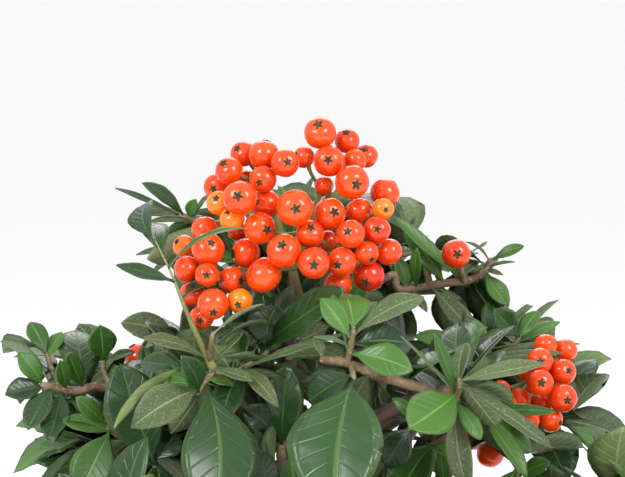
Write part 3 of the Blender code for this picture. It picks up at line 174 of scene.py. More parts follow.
# foliage of the front: twigs as across, down, near; a rosette is its middle, and for each leaf the tip,
# width and roll
frontPlan = {
    "spray_left_front": {
        "bough": "bough_left_front",
        "twigs": (
            ((232, 372, 15), (212, 371, 15)),
            ((212, 371, 15), (209, 360, 17), (198, 337, 19), (185, 308, 23), (172, 275, 26), (152, 234, 26)),
            ((209, 362, 17), (211, 346, 20), (213, 332, 21)),
            ((212, 371, 15), (203, 384, 19), (197, 395, 21)),
            ((203, 384, 19), (186, 364, 12)),
            ((250, 372, 13), (262, 356, 8), (268, 350, 6)),
        ),
        "rosettes": (
            ((209, 360, 17), ((143, 339, 26, 20, 50), (243, 328, 12, 20, 30), (252, 381, 24, 14, 40))),
            ((213, 332, 21), ((263, 304, 25, 11, 110),)),
            ((171, 280, 25), ((116, 265, 27, 17, 35),)),
            ((172, 264, 26), ((246, 228, 34, 12, 60),)),
            ((197, 393, 21), (
                (181, 356, 29, 25, 25), (131, 428, 30, 38, 10), (150, 383, 14, 20, 40),
                (214, 512, 33, 78, 12), (234, 386, 18, 16, 50),
            )),
            ((186, 364, 12), ((114, 428, 38, 16, 140), (141, 362, 6, 25, 30))),
            ((247, 374, 13), (
                (221, 421, 24, 30, 10), (278, 407, 26, 18, 20), (347, 333, 27, 14, 55), (241, 329, 6, 24, 15),
            )),
            ((268, 351, 6), ((278, 306, 6, 50, 8),)),
        ),
    },
    "spray_left_mid": {
        "bough": "bough_left_mid",
        "twigs": (
            ((192, 410, -12), (150, 398, -15), (100, 387, -15), (75, 391, -14), (40, 385, -12)),
            ((112, 389, -15), (104, 372, -17), (103, 358, -17)),
            ((165, 402, -14), (172, 375, -18), (182, 344, -18)),
            ((150, 398, -15), (152, 440, -6), (155, 468, 0)),
            ((152, 440, -6), (120, 436, -6), (106, 425, -4)),
            ((60, 389, -13), (52, 370, -16), (46, 352, -18)),
        ),
        "rosettes": (
            ((86, 389, -15), ((68, 352, -10, 20, 20), (110, 372, -20, 14, 30))),
            ((103, 358, -17), ((100, 325, -12, 31, 10), (135, 352, -22, 12, 40))),
            ((182, 344, -18), ((121, 323, -16, 32, 30), (158, 330, -12, 30, 20))),
            ((150, 396, -16), ((78, 366, -24, 17, 30), (143, 346, -18, 20, 30))),
            ((155, 468, 0), ((120, 364, 0, 62, 5), (176, 432, -4, 34, 10))),
            ((106, 425, -4), ((76, 397, 0, 20, 20), (80, 492, 0, 45, 10), (62, 420, -6, 22, 30))),
            ((148, 466, -2), ((82, 494, -8, 42, 10), (160, 520, 4, 40, 10))),
            ((40, 385, -12), ((18, 352, -10, 24, 20), (5, 395, -8, 26, 30), (28, 430, -4, 28, 20))),
            ((46, 352, -18), ((30, 322, -20, 22, 20), (62, 332, -22, 18, 30))),
            ((62, 389, -13), ((48, 440, -4, 30, 15), (60, 360, -8, 18, 20))),
        ),
    },
    "spray_top": {
        "bough": "bough_back_high",
        "twigs": (
            ((290, 330, -13), (294, 300, -14), (292, 268, -12), (288, 240, -12), (300, 208, -16)),
            ((292, 268, -12), (262, 262, -12), (250, 262, -12)),
            ((294, 318, -13), (274, 352, -3), (262, 345, 4)),
            ((296, 302, -14), (290, 330, -10), (288, 356, -8)),
            ((296, 302, -14), (318, 322, -11), (345, 330, -5)),
        ),
        "rosettes": (
            ((300, 208, -16), ((314, 176, -16, 7, 30), (303, 186, -18, 7, 30), (278, 186, -14, 13, 30))),
            ((288, 245, -12), ((281, 205, -10, 20, 10), (318, 222, -10, 18, 20), (262, 228, -14, 16, 20))),
            ((250, 262, -12), ((212, 256, -18, 15, 30), (228, 238, -18, 14, 30), (222, 284, -15, 20, 20))),
            ((262, 345, 4), ((345, 289, 28, 40, 35), (222, 318, 2, 24, 20))),
            ((296, 302, -14), ((332, 338, -12, 34, 10), (336, 268, -12, 26, 10), (262, 322, -12, 30, 20))),
            ((288, 356, -8), ((314, 374, -4, 38, 10), (246, 346, -12, 26, 20))),
            ((345, 330, -5), ((366, 272, 0, 24, 20), (388, 310, -2, 22, 20), (334, 280, -2, 20, 20))),
        ),
    },
    "spray_left_high": {
        "bough": "bough_left_high",
        "twigs": (
            ((234, 224, -14), (205, 224, -14), (178, 215, -12)),
            ((220, 225, -14), (200, 242, -14), (186, 246, -12)),
        ),
        "rosettes": (
            ((178, 214, -12), (
                (115, 188, -10, 10, 50), (142, 183, -4, 18, 40), (196, 199, -10, 14, 20),
                (213, 192, -14, 8, 50), (148, 222, -6, 10, 50), (160, 213, -14, 6, 40),
            )),
            ((230, 224, -14), ((147, 259, -3, 36, 150), (160, 238, -14, 22, 60))),
            ((186, 246, -12), ((136, 255, -12, 8, 40), (166, 262, -8, 12, 20), (150, 275, -16, 8, 30))),
        ),
    },
    "spray_right_high": {
        "bough": "bough_right_high",
        "twigs": (
            ((400, 290, -22), (440, 284, -22), (470, 280, -22), (488, 268, -22), (492, 258, -22)),
            ((432, 284, -22), (424, 262, -26), (412, 240, -26), (406, 222, -26)),
            ((463, 281, -22), (460, 268, -16), (458, 260, -13)),
        ),
        "rosettes": (
            ((492, 260, -22), ((524, 246, -20, 13, 30), (466, 242, -19, 6, 60), (515, 262, -18, 5, 40))),
            ((488, 268, -22), ((503, 275, -18, 7, 30), (508, 306, -18, 20, 10))),
            ((463, 281, -22), ((393, 216, -18, 16, 35), (452, 264, -26, 15, 20), (479, 262, -26, 12, 20))),
            ((446, 283, -22), ((404, 232, -22, 24, 20), (422, 238, -30, 20, 20), (462, 300, -26, 8, 20))),
            ((417, 288, -22), ((417, 248, -16, 13, 20), (427, 312, -18, 10, 20))),
            ((405, 289, -22), ((396, 258, -24, 18, 20), (384, 238, -27, 16, 20))),
            ((432, 284, -22), ((478, 338, -14, 24, 20),)),
            ((406, 222, -26), ((400, 210, -26, 5, 20), (416, 218, -25, 5, 30))),
        ),
        "fruit": (((456, 254, 30, -11, 1, 0),), ((459, 264, -14),), (461, 274, -20)),
    },
    "spray_centre_front": {
        "bough": "bough_right_front",
        "side": True,
        "twigs": (
            ((424, 389, 24), (380, 376, 27), (345, 362, 28), (320, 359, 29)),
            ((347, 363, 28), (351, 345, 30), (354, 328, 31)),
            ((352, 366, 28), (354, 380, 31)),
        ),
        "rosettes": (
            ((354, 330, 31), (
                (345, 294, 23, 40, 25), (424, 297, 22, 27, 35), (321, 298, 30, 24, 15),
                (411, 345, 24, 42, 30), (314, 337, 37, 7, 50),
            )),
            ((351, 354, 29), ((413, 371, 33, 33, 15),)),
            ((354, 380, 31), ((336, 508, 44, 92, 15), (309, 402, 22, 36, 20))),
            ((322, 359, 29), ((318, 338, 26, 12, 20),)),
        ),
    },
    "spray_right_front": {
        "bough": "bough_right_front",
        "side": True,
        "twigs": (
            ((446, 392, 25), (455, 400, 24), (450, 430, 16), (432, 446, 10)),
            ((455, 400, 24), (460, 388, 28), (459, 379, 30)),
            ((455, 400, 24), (470, 404, 12), (486, 414, 4)),
            ((450, 430, 16), (425, 427, 18), (411, 423, 19)),
        ),
        "rosettes": (
            ((459, 380, 30), ((546, 364, 34, 22, 45), (552, 448, 26, 18, 40), (466, 343, 20, 24, 30))),
            ((456, 394, 26), ((409, 428, 38, 47, 15), (401, 336, 34, 6, 60), (434, 334, 34, 13, 20))),
            ((455, 401, 24), ((468, 492, 24, 25, 10), (481, 440, 28, 18, 20), (498, 420, 10, 22, 20))),
            ((478, 409, 7), ((527, 478, 14, 24, 50), (556, 412, 12, 14, 30), (532, 452, -4, 22, 20))),
            ((432, 446, 10), ((449, 456, 18, 16, 20), (398, 505, 16, 46, 20), (444, 494, 8, 16, 10))),
            ((411, 423, 19), ((386, 468, 18, 38, 20), (392, 398, 22, 14, 20))),
        ),
    },
    "spray_right_mid": {
        "bough": "bough_right_mid",
        "twigs": (
            ((452, 372, -12), (474, 362, -13), (486, 348, -13)),
            ((474, 362, -13), (506, 352, -18), (521, 335, -18)),
            ((462, 370, -13), (488, 398, -16), (510, 440, -14), (520, 478, -10)),
        ),
        "rosettes": (
            ((486, 348, -13), (
                (472, 318, -12, 18, 20), (499, 329, -8, 15, 20), (562, 342, -4, 10, 55),
                (562, 353, 2, 13, 40), (414, 336, -14, 24, 40),
            )),
            ((521, 335, -18), ((494, 309, -13, 26, 20), (538, 311, -20, 19, 20), (560, 322, -24, 14, 30))),
            ((511, 442, -14), ((545, 434, -12, 18, 20), (488, 416, -18, 16, 30))),
            ((520, 476, -10), ((550, 462, -6, 20, 20), (560, 490, -8, 24, 20), (500, 505, -4, 24, 20))),
        ),
        "fruit": (rightBerries, rightForks, rightHub),
    },
    "spray_front_low": {
        "bough": "bough_front_low",
        "twigs": (
            ((286, 520, 20), (276, 500, 18), (281, 460, 9), (281, 437, 6)),
            ((276, 500, 18), (262, 505, 18)),
            ((276, 500, 18), (300, 502, 12), (340, 510, 4), (392, 502, 2)),
        ),
        "rosettes": (
            ((281, 438, 6), ((247, 452, 12, 24, 20), (243, 406, 12, 32, 15), (287, 364, 10, 42, 15))),
            ((264, 504, 18), ((262, 449, 22, 30, 10), (232, 520, 26, 26, 20), (216, 480, 18, 24, 15))),
            ((300, 502, 12), ((290, 457, 18, 34, 10), (322, 470, 8, 26, 20))),
            ((392, 502, 2), ((397, 455, 4, 26, 10), (430, 512, 6, 26, 30), (365, 470, 4, 24, 20))),
        ),
    },
}

thornTip = (152, 234, 26)

# leaves of the front whose look doesn't follow from their width: young ones are hairy and pale
lookOfTips = {
    "young": (
        (143, 339), (243, 328), (252, 381), (131, 428), (278, 407), (347, 333), (424, 297), (546, 364),
        (552, 448), (466, 343), (468, 492), (478, 338), (562, 353), (121, 323), (110, 372), (147, 259),
    ),
    "fresh": (
        (246, 228), (413, 371), (409, 428), (527, 478), (247, 452), (290, 457), (398, 505), (100, 325),
        (80, 492), (345, 294),
    ),
    "glossy": ((116, 265), (160, 238), (142, 183), (115, 188)),
}

# foliage by rule: bough, where the stem ends in mm above the soil, how far twigs reach, how many, seed
ruledPlan = {
    "spray_left_low": ("bough_left_low", (-68, -8, 92), 24, 9, 11),
    "spray_front_left": ("bough_front_left", (-42, -40, 108), 22, 8, 17),
    "spray_front_right": ("bough_front_right", (38, -42, 114), 22, 8, 18),
    "spray_right_low": ("bough_right_low", (72, -10, 112), 24, 9, 12),
    "spray_back_low": ("bough_back_low", (2, 56, 98), 25, 9, 13),
    "spray_back_left": ("bough_back_left", (-44, 46, 138), 25, 10, 14),
    "spray_back_right": ("bough_back_right", (48, 42, 136), 25, 10, 15),
    "spray_back_high": ("bough_back_right_high", (10, 48, 174), 24, 9, 16),
}

# its berry clusters: the middle, the way it faces, how many berries, seed
ruledFruit = {
    "spray_left_low": ((-62, -20, 98), (-0.5, -0.7, 0.5), 8, 21),
    "spray_front_right": ((40, -46, 124), (0.3, -0.8, 0.5), 8, 22),
    "spray_back_left": ((-36, 56, 146), (-0.3, 0.8, 0.5), 8, 23),
    "spray_back_right": ((42, 54, 140), (0.4, 0.8, 0.4), 8, 24),
}

# where the background shows: left, top, right, bottom, in picture steps
skyBoxes = (
    (0, 0, 625, 190), (0, 0, 112, 318), (0, 262, 160, 320), (400, 190, 625, 238), (500, 190, 625, 300),
    (404, 300, 436, 326), (308, 342, 346, 360), (440, 430, 490, 478), (480, 455, 540, 560),
    (106, 344, 142, 364), (146, 262, 186, 316), (385, 428, 398, 444), (428, 248, 440, 268),
)


# mesh making: grids and rings gathered into one mesh for each kind


class Heap:  # points, quads and triangles of one piece, with values on the points
    def __init__(self):
        self.points, self.quads, self.tris, self.uvs = [], [], [], []
        self.values = {}
        self.count = 0

    def add(self, points, quads, tris, uv=None, **values):
        self.points.append(points)
        self.quads.append(quads + self.count)
        self.tris.append(tris + self.count)
        self.uvs.append(np.zeros((len(points), 2)) if uv is None else uv)
        for key, value in values.items():
            onPoints = np.broadcast_to(np.asarray(value, float), (len(points),))
            self.values.setdefault(key, []).append(onPoints)
        self.count += len(points)

    def make(self, name, material, slot, replaced=()):
        points, quads, tris = (np.concatenate(part) for part in (self.points, self.quads, self.tris))
        corners = np.concatenate((quads.ravel(), tris.ravel()))
        sizes = np.concatenate((np.full(len(quads), 4), np.full(len(tris), 3)))
        mesh = bpy.data.meshes.new(name)
        mesh.vertices.add(len(points))
        mesh.vertices.foreach_set("co", points.ravel())
        mesh.loops.add(len(corners))
        mesh.loops.foreach_set("vertex_index", corners)
        mesh.polygons.add(len(sizes))
        mesh.polygons.foreach_set("loop_start", np.concatenate(([0], np.cumsum(sizes)[:-1])))
        mesh.polygons.foreach_set("use_smooth", np.ones(len(sizes), bool))
        mesh.update(calc_edges=True)
        uv = mesh.uv_layers.new(name="shape")
        uv.data.foreach_set("uv", np.concatenate(self.uvs)[corners].ravel())
        for key, value in self.values.items():
            mesh.attributes.new(key, "FLOAT", "POINT").data.foreach_set("value", np.concatenate(value))
        mesh.validate()
        mesh.materials.append(material)
        piece = bpy.data.objects.new(name, mesh)
        bpy.context.scene.collection.objects.link(piece)
        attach(piece, "root")
        if replaced:
            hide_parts(*replaced)
        print(name, len(quads) * 2 + len(tris), "triangles")


def turns(sides):  # the angles of a ring's points
    return 2 * np.pi * np.arange(sides) / sides


def crossways(way, slant):  # two directions square to way and to each other
    side = unit(np.cross(way, slant))
    return side, np.cross(way, side)


def ringFaces(rows, sides):  # quads between closed rings, turning outwards
    i, j = np.meshgrid(np.arange(rows - 1), np.arange(sides), indexing="ij")
    k = (j + 1) % sides
    below, above = i * sides, (i + 1) * sides
    return np.stack((below + j, below + k, above + k, above + j), -1).reshape(-1, 4)


def capped(rings):  # points, quads and cap triangles of rings closed at both ends by a middle point
    rows, sides, _ = rings.shape
    points = np.vstack((rings.reshape(-1, 3), rings[0].mean(0), rings[-1].mean(0)))
    j = np.arange(sides)
    k = (j + 1) % sides
    last = (rows - 1) * sides
    foot = np.stack((np.full(sides, rows * sides), k, j), -1)
    head = np.stack((np.full(sides, rows * sides + 1), last + j, last + k), -1)
    return points, ringFaces(rows, sides), np.vstack((foot, head))


def smooth(points, perSpan):  # Catmull-Rom curve: a cubic through each pair, with its neighbours' slopes
    points = np.asarray(points, float)
    ends = np.vstack((2 * points[0] - points[1], points, 2 * points[-1] - points[-2]))
    a, b, c, d = ends[:-3, None], ends[1:-2, None], ends[2:-1, None], ends[3:, None]
    t = (np.arange(perSpan) / perSpan)[None, :, None]
    square, cube = 2 * a - 5 * b + 4 * c - d, 3 * b - a - 3 * c + d
    curve = 0.5 * (2 * b + (c - a) * t + square * t**2 + cube * t**3)
    return np.vstack((curve.reshape(-1, points.shape[1]), points[-1]))


def lengthsAlong(path):
    return np.concatenate(([0], np.cumsum(np.linalg.norm(np.diff(path, axis=0), axis=1))))


def readAt(stops, along, path):  # the path's points at these lengths
    return np.column_stack([np.interp(stops, along, axis) for axis in path.T])


def evenly(path, values, step):  # the path and its values again, a step apart
    along = lengthsAlong(path)
    stops = np.linspace(0, along[-1], max(int(along[-1] / step), 2) + 1)
    return readAt(stops, along, path), np.interp(stops, along, values), stops


def ringsAlong(path, radii, sides):  # centre + radius * (cos * side + sin * other), carried along untwisted
    tangents = np.gradient(path, axis=0)
    tangents /= np.linalg.norm(tangents, axis=1)[:, None]
    side = unit(np.cross(tangents[0], (0.31, 0.87, 0.2)))
    sideways = []
    for tangent in tangents:
        side = unit(side - tangent * (side @ tangent))
        sideways.append(side)
    sideways = np.array(sideways)
    other = np.cross(tangents, sideways)
    turn = turns(sides)[None, :, None]
    radii = np.broadcast_to(radii, (len(path), sides))[..., None]
    return path[:, None] + radii * (np.cos(turn) * sideways[:, None] + np.sin(turn) * other[:, None])


ripples = {"lobes": (2, 13), "strength": (0.4, 1), "slope": (0.15, 1)}


def waves(turn, along, count, seed, longest):  # a sum of cosines round and along a limb, about -1 to 1
    chance = np.random.default_rng(seed)
    total = np.zeros(np.broadcast(turn, along).shape)
    for _ in range(count):
        lobes = chance.integers(*ripples["lobes"])
        strength, phase = chance.uniform(*ripples["strength"]), chance.uniform(*anyPhase)
        slope = 2 * np.pi / longest * chance.uniform(*ripples["slope"]) * lobes / 4
        total = total + strength * np.cos(lobes * turn + phase + along * slope)
    return total / math.sqrt(count)


# shader maths: expressions on sockets add their Math nodes


class Wire:  # a socket that takes part in expressions
    def __init__(self, shader, socket):
        self.shader, self.socket = shader, socket

    def maths(self, operation, *values):
        return self.shader.node("ShaderNodeMath", {"operation": operation}, dict(enumerate(values)))

    def __add__(self, other):
        return self.maths("ADD", self, other)

    def __sub__(self, other):
        return self.maths("SUBTRACT", self, other)

    def __rsub__(self, other):
        return self.maths("SUBTRACT", other, self)

    def __mul__(self, other):
        return self.maths("MULTIPLY", self, other)

    def __abs__(self):
        return self.maths("ABSOLUTE", self)

    __radd__ = __add__
    __rmul__ = __mul__

    def fraction(self):
        return self.maths("FRACT", self)

    def between(self, low, high):  # 0 below low, 1 above high, and smooth from one to the other
        settings = {"interpolation_type": "SMOOTHSTEP"}
        return self.shader.node("ShaderNodeMapRange", settings, {0: self, 1: low, 2: high})


class Finish:  # a material, with sockets that stay the same all over given at once
    def __init__(self, name, **fixed):
        self.material = bpy.data.materials.new(name)
        self.material.use_nodes = True
        self.tree = self.material.node_tree
        self.surface = self.tree.nodes["Principled BSDF"]
        for key, value in fixed.items():
            self.set(key.replace("_", " "), value)

    def node(self, kind, settings=None, links=None, out=0):
        made = self.tree.nodes.new(kind)
        for key, value in (settings or {}).items():
            setattr(made, key, value)
        for key, value in (links or {}).items():
            self.join(made.inputs[key], value)
        return Wire(self, made.outputs[out])

    def join(self, socket, value):
        if isinstance(value, Wire):
            self.tree.links.new(value.socket, socket)
        else:
            socket.default_value = (*value, 1) if socket.type == "RGBA" else value

    def set(self, key, value):
        self.join(self.surface.inputs[key], value)

    def place(self, scale=(1, 1, 1)):  # Object coordinates, stretched
        coords = self.node("ShaderNodeTexCoord", out=3)
        return self.node("ShaderNodeMapping", links={0: coords, 3: scale})

    def noise(self, scale, detail, where=None):
        links = {"Vector": where or self.place(), "Scale": scale, "Detail": detail, "Roughness": 0.55}
        return self.node("ShaderNodeTexNoise", links=links)

    def specks(self, scale, small, large, where=None):  # 1 in a spot round each cell's middle
        links = {"Vector": where or self.place(), "Scale": scale}
        return 1 - self.node("ShaderNodeTexVoronoi", links=links).between(small, large)

    def value(self, name):
        return self.node("ShaderNodeAttribute", {"attribute_name": name}, out=2)

    def uv(self):
        both = self.node("ShaderNodeUVMap", {"uv_map": "shape"})
        apart = self.node("ShaderNodeSeparateXYZ", links={0: both})
        return apart, Wire(self, apart.socket.node.outputs[1])

    def mix(self, share, a, b):
        return self.node("ShaderNodeMix", {"data_type": "RGBA"}, {0: share, 6: a, 7: b}, out=2)

    def bump(self, height, distance, strength):
        links = {"Height": height, "Distance": distance, "Strength": strength}
        return self.node("ShaderNodeBump", links=links)

    def finished(self, colour, roughness, bump):
        self.set("Base Color", colour)
        self.set("Roughness", roughness)
        self.set("Normal", bump)
        return self.material


# limbs: trunk and boughs with ridged bark

limbs = {
    "rootRidges": 5, "rootFlare": 0.42, "rootFade": 14 * mm, "rootSway": 0.6,
    "ridge": 0.055, "ridgeLength": 60 * mm,  # bark relief as a share of the radius
    "fineRidge": 0.022, "fineLength": 18 * mm, "fineTurns": 3, "waves": 9,
    "ringStep": 0.7 * mm, "perSpan": 6, "trunkSides": 64, "boughSides": 28,
    "collar": 0.35, "collarLength": 5 * mm,  # swelling where a bough leaves the trunk
    "footSunk": 1.5 * mm, "rootInside": 0.5,  # a bough's root lies this share of its radius inside
    "trunkSeed": 3, "boughSeed": 40,
}
barkLook = {
    "dark": (0.060, 0.040, 0.028), "light": (0.135, 0.100, 0.072), "patchScale": 60,
    "grain": (0.23, 0.19, 0.145), "grainScale": 420, "grainStretch": (1, 1, 0.35),
    "pore": (0.40, 0.32, 0.22), "poreScale": 260, "poreStretch": (0.55, 0.55, 1.5),  # wide, low pores
    "relief": 0.6 * mm,
}


def barkFinish(look):
    bark = Finish("bark")
    grain = bark.noise(look["grainScale"], 5, bark.place(look["grainStretch"]))
    patches = bark.noise(look["patchScale"], 3)
    pores = bark.specks(look["poreScale"], 0.10, 0.20, bark.place(look["poreStretch"]))
    colour = bark.mix(patches.between(0.38, 0.62), look["dark"], look["light"])
    colour = bark.mix(grain.between(0.5, 0.75) * 0.6, colour, look["grain"])
    colour = bark.mix(pores * 0.75, colour, look["pore"])
    return bark.finished(colour, 0.9 - grain * 0.25, bark.bump(grain + pores * 0.8, look["relief"], 0.8))


def limbRings(path, radii, sides, seed, flared=False):  # radius * (1 + waves) * the flare or the collar
    path, radii, along = evenly(path, radii, limbs["ringStep"])
    turn = turns(sides)
    around, upwards, count = turn[None], along[:, None], limbs["waves"]
    coarse = waves(around, upwards, count, seed, limbs["ridgeLength"])
    fine = waves(around * limbs["fineTurns"], upwards, count, seed + 1, limbs["fineLength"])
    relief = 1 + limbs["ridge"] * coarse + limbs["fineRidge"] * fine
    collar = (1 + limbs["collar"] * np.exp(-along / limbs["collarLength"]))[:, None]
    return ringsAlong(path, radii[:, None] * relief * (rootFlare(path, turn) if flared else collar), sides)


def rootFlare(path, turn):  # 1 + flare * the positive part of cos(ridges * turn), fading upwards
    fade = np.clip(1 - (path[:, 2] - ground) / limbs["rootFade"], 0, 1)[:, None] ** 2
    sway = limbs["rootSway"] * np.sin(2 * turn[None])
    return 1 + limbs["rootFlare"] * np.maximum(0, np.cos(limbs["rootRidges"] * turn[None] + sway)) * fade


trunkPath = smooth([aboveSoil(x, y, h) for x, y, h, _ in trunkPlan], limbs["perSpan"])
trunkRadii = smooth([(r * mm,) for *_, r in trunkPlan], limbs["perSpan"])[:, 0]
limbHeap = Heap()
rings = limbRings(trunkPath, trunkRadii, limbs["trunkSides"], limbs["trunkSeed"], flared=True)
rings[0, :, 2] = ground - limbs["footSunk"]
limbHeap.add(*capped(rings))
boughs = {}
for number, (name, (places, thick, thin)) in enumerate(boughPlan.items()):
    path = smooth([aboveSoil(*place) for place in places], limbs["perSpan"])
    radii = np.linspace(thick, thin, len(path)) * mm
    boughs[name] = (path, radii)
    inside = path[0] - unit(path[1] - path[0]) * radii[0] * limbs["rootInside"]
    path, radii = np.vstack((inside, path)), np.concatenate(([radii[0]], radii))
    limbHeap.add(*capped(limbRings(path, radii, limbs["boughSides"], limbs["boughSeed"] + number)))
limbHeap.make("barkOfLimbs", barkFinish(barkLook), "bark", ["trunk", *boughPlan])
print("limbs made")


# leaves: a blade is a grid of rows along its midrib and columns across it, closed into a thin shell

blade = {
    "thick": 0.32 * mm, "petiole": 0.42 * mm, "petioleShare": 0.10, "petioleFade": 0.12, "tipHalf": 0.10 * mm,
    "rowPower": 0.92, "lean": (1.0, 1.3), "blunt": (0.60, 0.78),  # powers that shape the outline
    "arch": 0.085, "archSpread": (0.3, 1.5), "sway": 0.035, "twist": 0.10,
    "fold": 0.22, "foldSpread": (0.4, 1.5), "foldPower": 1.3,
    "wave": 0.05, "waveSpread": (0.3, 1.4), "beats": (2.0, 4.0),
    "rimUnder": 0.35,  # how far the margin takes on the underside's colour
    "middle": 0.55, "gap": 0.55,  # crown leaves keep their middles this share of a width apart
    "frontGrid": (16, 9), "crownGrid": (9, 5),  # rows and columns
    "tint": (0.1, 0.9), "seed": 5,
}
leafLooks = {
    "glossy": {
        "dark": (0.006, 0.025, 0.006), "light": (0.019, 0.066, 0.012), "patch": (0.012, 0.046, 0.008),
        "vein": (0.085, 0.160, 0.038), "under": (0.115, 0.170, 0.070), "veins": 0.06, "midrib": 0.55,
        "hairAndSheen": 0.0, "rough": 0.22, "specular": 0.45,
    },
    "fresh": {
        "dark": (0.020, 0.074, 0.008), "light": (0.055, 0.160, 0.018), "patch": (0.036, 0.115, 0.012),
        "vein": (0.170, 0.280, 0.060), "under": (0.165, 0.235, 0.085), "veins": 0.13, "midrib": 0.65,
        "hairAndSheen": 0.0, "rough": 0.30, "specular": 0.4,
    },
    "young": {
        "dark": (0.032, 0.064, 0.020), "light": (0.082, 0.130, 0.046), "patch": (0.070, 0.080, 0.034),
        "vein": (0.240, 0.290, 0.130), "under": (0.230, 0.270, 0.145), "veins": 0.2, "midrib": 0.65,
        # hair: how strongly the pale hair specks show, partly the hairs' own colour and partly painted sheen
        "hairAndSheen": 0.22, "rough": 0.50, "specular": 0.3,
    },
}
leafSkin = {
    # hair: the colour of pale specks on young leaves, partly the hairs' own colour and partly painted sheen
    "cloudScale": 130, "hairAndSheenScale": 2600, "hairAndSheen": (0.62, 0.66, 0.56), "underVein": (0.42, 0.47, 0.24),
    "veinCount": 8.5, "veinSlant": 1.9, "veinWidth": 0.20, "underRough": 0.62, "relief": 0.5 * mm,
}


def leafFinish(name, look, skin):
    leaf = Finish(name, Specular_IOR_Level=look["specular"])
    along, across = leaf.uv()
    off = abs(across - 0.5) * 2  # 0 on the midrib, 1 on the margin
    tint, under = leaf.value("tint"), leaf.value("under")
    cloud = leaf.noise(skin["cloudScale"], 3)
    slant = (along * skin["veinCount"] - off * skin["veinSlant"]).fraction()
    line = 1 - (abs(slant - 0.5) * 2).between(0.0, skin["veinWidth"])
    veins = line * off.between(0.03, 0.1) * (1 - off.between(0.8, 1.0))
    midrib = 1 - off.between(0.02, 0.085)
    # white specks of hair on young leaves: partly the hairs' own pale colour, partly painted sheen
    hairsAndSheen = leaf.noise(skin["hairAndSheenScale"], 2).between(0.56, 0.70) * look["hairAndSheen"]
    colour = leaf.mix(tint, look["dark"], look["light"])
    colour = leaf.mix(cloud.between(0.35, 0.7) * 0.45, colour, look["patch"])
    for share in (veins * look["veins"], midrib * look["midrib"], off.between(0.90, 0.99) * 0.5):
        colour = leaf.mix(share, colour, look["vein"])
    colour = leaf.mix(hairsAndSheen, colour, skin["hairAndSheen"])
    underneath = leaf.mix(veins * 0.5 + midrib * 0.5, look["under"], skin["underVein"])
    colour = leaf.mix(under, colour, underneath)
    roughness = look["rough"] + under * (skin["underRough"] - look["rough"]) + cloud * 0.10
    height = 0.5 - veins * 0.3 - midrib * 0.5 + cloud * 0.25 + hairsAndSheen * 0.1
    return leaf.finished(colour, roughness, leaf.bump(height, skin["relief"], 0.5))


leafHeaps = {look: Heap() for look in leafLooks}
leafMiddles = []
chanceOfLeaf = np.random.default_rng(blade["seed"])


# Half width = width/2 * sin(pi * t^lean)^blunt, and no less than the petiole's in the lower half.
# The midrib bows to the upper side by arch * 4t(1-t) and sways by as much; the sides fold up and wave.
def addLeaf(root, tip, width, normal, look, tint, grid):
    chance, (rows, columns) = chanceOfLeaf, grid
    axis = tip - root
    length = np.linalg.norm(axis)
    normal = unit(normal - axis * (normal @ axis) / (axis @ axis))
    side = np.cross(unit(axis), normal)
    t = np.linspace(0, 1, rows) ** blade["rowPower"]
    s = np.linspace(-1, 1, columns)
    blunt = chance.uniform(*blade["blunt"])
    grown = np.clip((t - blade["petioleShare"]) / (1 - blade["petioleShare"]), 0, 1)
    half = width / 2 * np.sin(np.pi * grown ** chance.uniform(*blade["lean"])) ** blunt
    half = np.maximum(half, np.where(t < 0.5, blade["petiole"], blade["tipHalf"]))
    bow = blade["arch"] * chance.uniform(*blade["archSpread"]) * length
    sway = chance.normal(0, blade["sway"]) * length
    spine = root + axis * t[:, None] + (normal * bow + side * sway) * (4 * t * (1 - t))[:, None]
    fold = blade["fold"] * chance.uniform(*blade["foldSpread"])
    phase, beats = chance.uniform(*anyPhase), chance.uniform(*blade["beats"])
    twist = chance.normal(0, blade["twist"])
    wave = blade["wave"] * chance.uniform(*blade["waveSpread"])
    ripple = np.sin(2 * np.pi * beats * t[:, None] + phase + s[None])
    raised = fold * np.abs(s)[None] ** blade["foldPower"] + wave * ripple * s[None] ** 2
    raised = half[:, None] * (raised + twist * s[None] * t[:, None])
    sheet = spine[:, None] + side * (half[:, None] * s[None])[..., None] + normal * raised[..., None]
    lens = np.sqrt(np.clip(1 - s**2, 0, 1))  # thick on the midrib, thin at the margins
    petiole = np.clip(1 - t / blade["petioleFade"], 0, 1)[:, None] * blade["petiole"]
    depth = (np.maximum(blade["thick"] / 2, petiole) * lens)[..., None] * normal
    top, low = sheet + depth, (sheet - depth)[:, 1:-1][:, ::-1]
    points, quads, tris = capped(np.concatenate((top, low), axis=1))
    v = np.concatenate((s, s[1:-1][::-1])) * 0.5 + 0.5
    uv = np.stack(np.broadcast_arrays(t[:, None], v[None]), -1).reshape(-1, 2)
    uv = np.vstack((uv, (0, 0.5), (1, 0.5)))
    under = np.concatenate((np.zeros(columns), np.ones(columns - 2)))
    under[[0, columns - 1]] = blade["rimUnder"]
    under = np.concatenate((np.tile(under, rows), (0.5, 0.5)))
    leafHeaps[look].add(points, quads, tris, uv, tint=tint, under=under)
    leafMiddles.append((*(root + axis * blade["middle"]), width))


def leafNormal(root, tip, roll):  # roll 0 turns the upper face to the standpoint, 90 to the sky
    axis = unit(tip - root)
    facing = unit((eye - root) - axis * ((eye - root) @ axis))
    side = np.cross(axis, facing)
    side = -side if side[2] < 0 else side
    return facing * math.cos(math.radians(roll)) + side * math.sin(math.radians(roll))


# twigs: knotted, pale brown, green where young

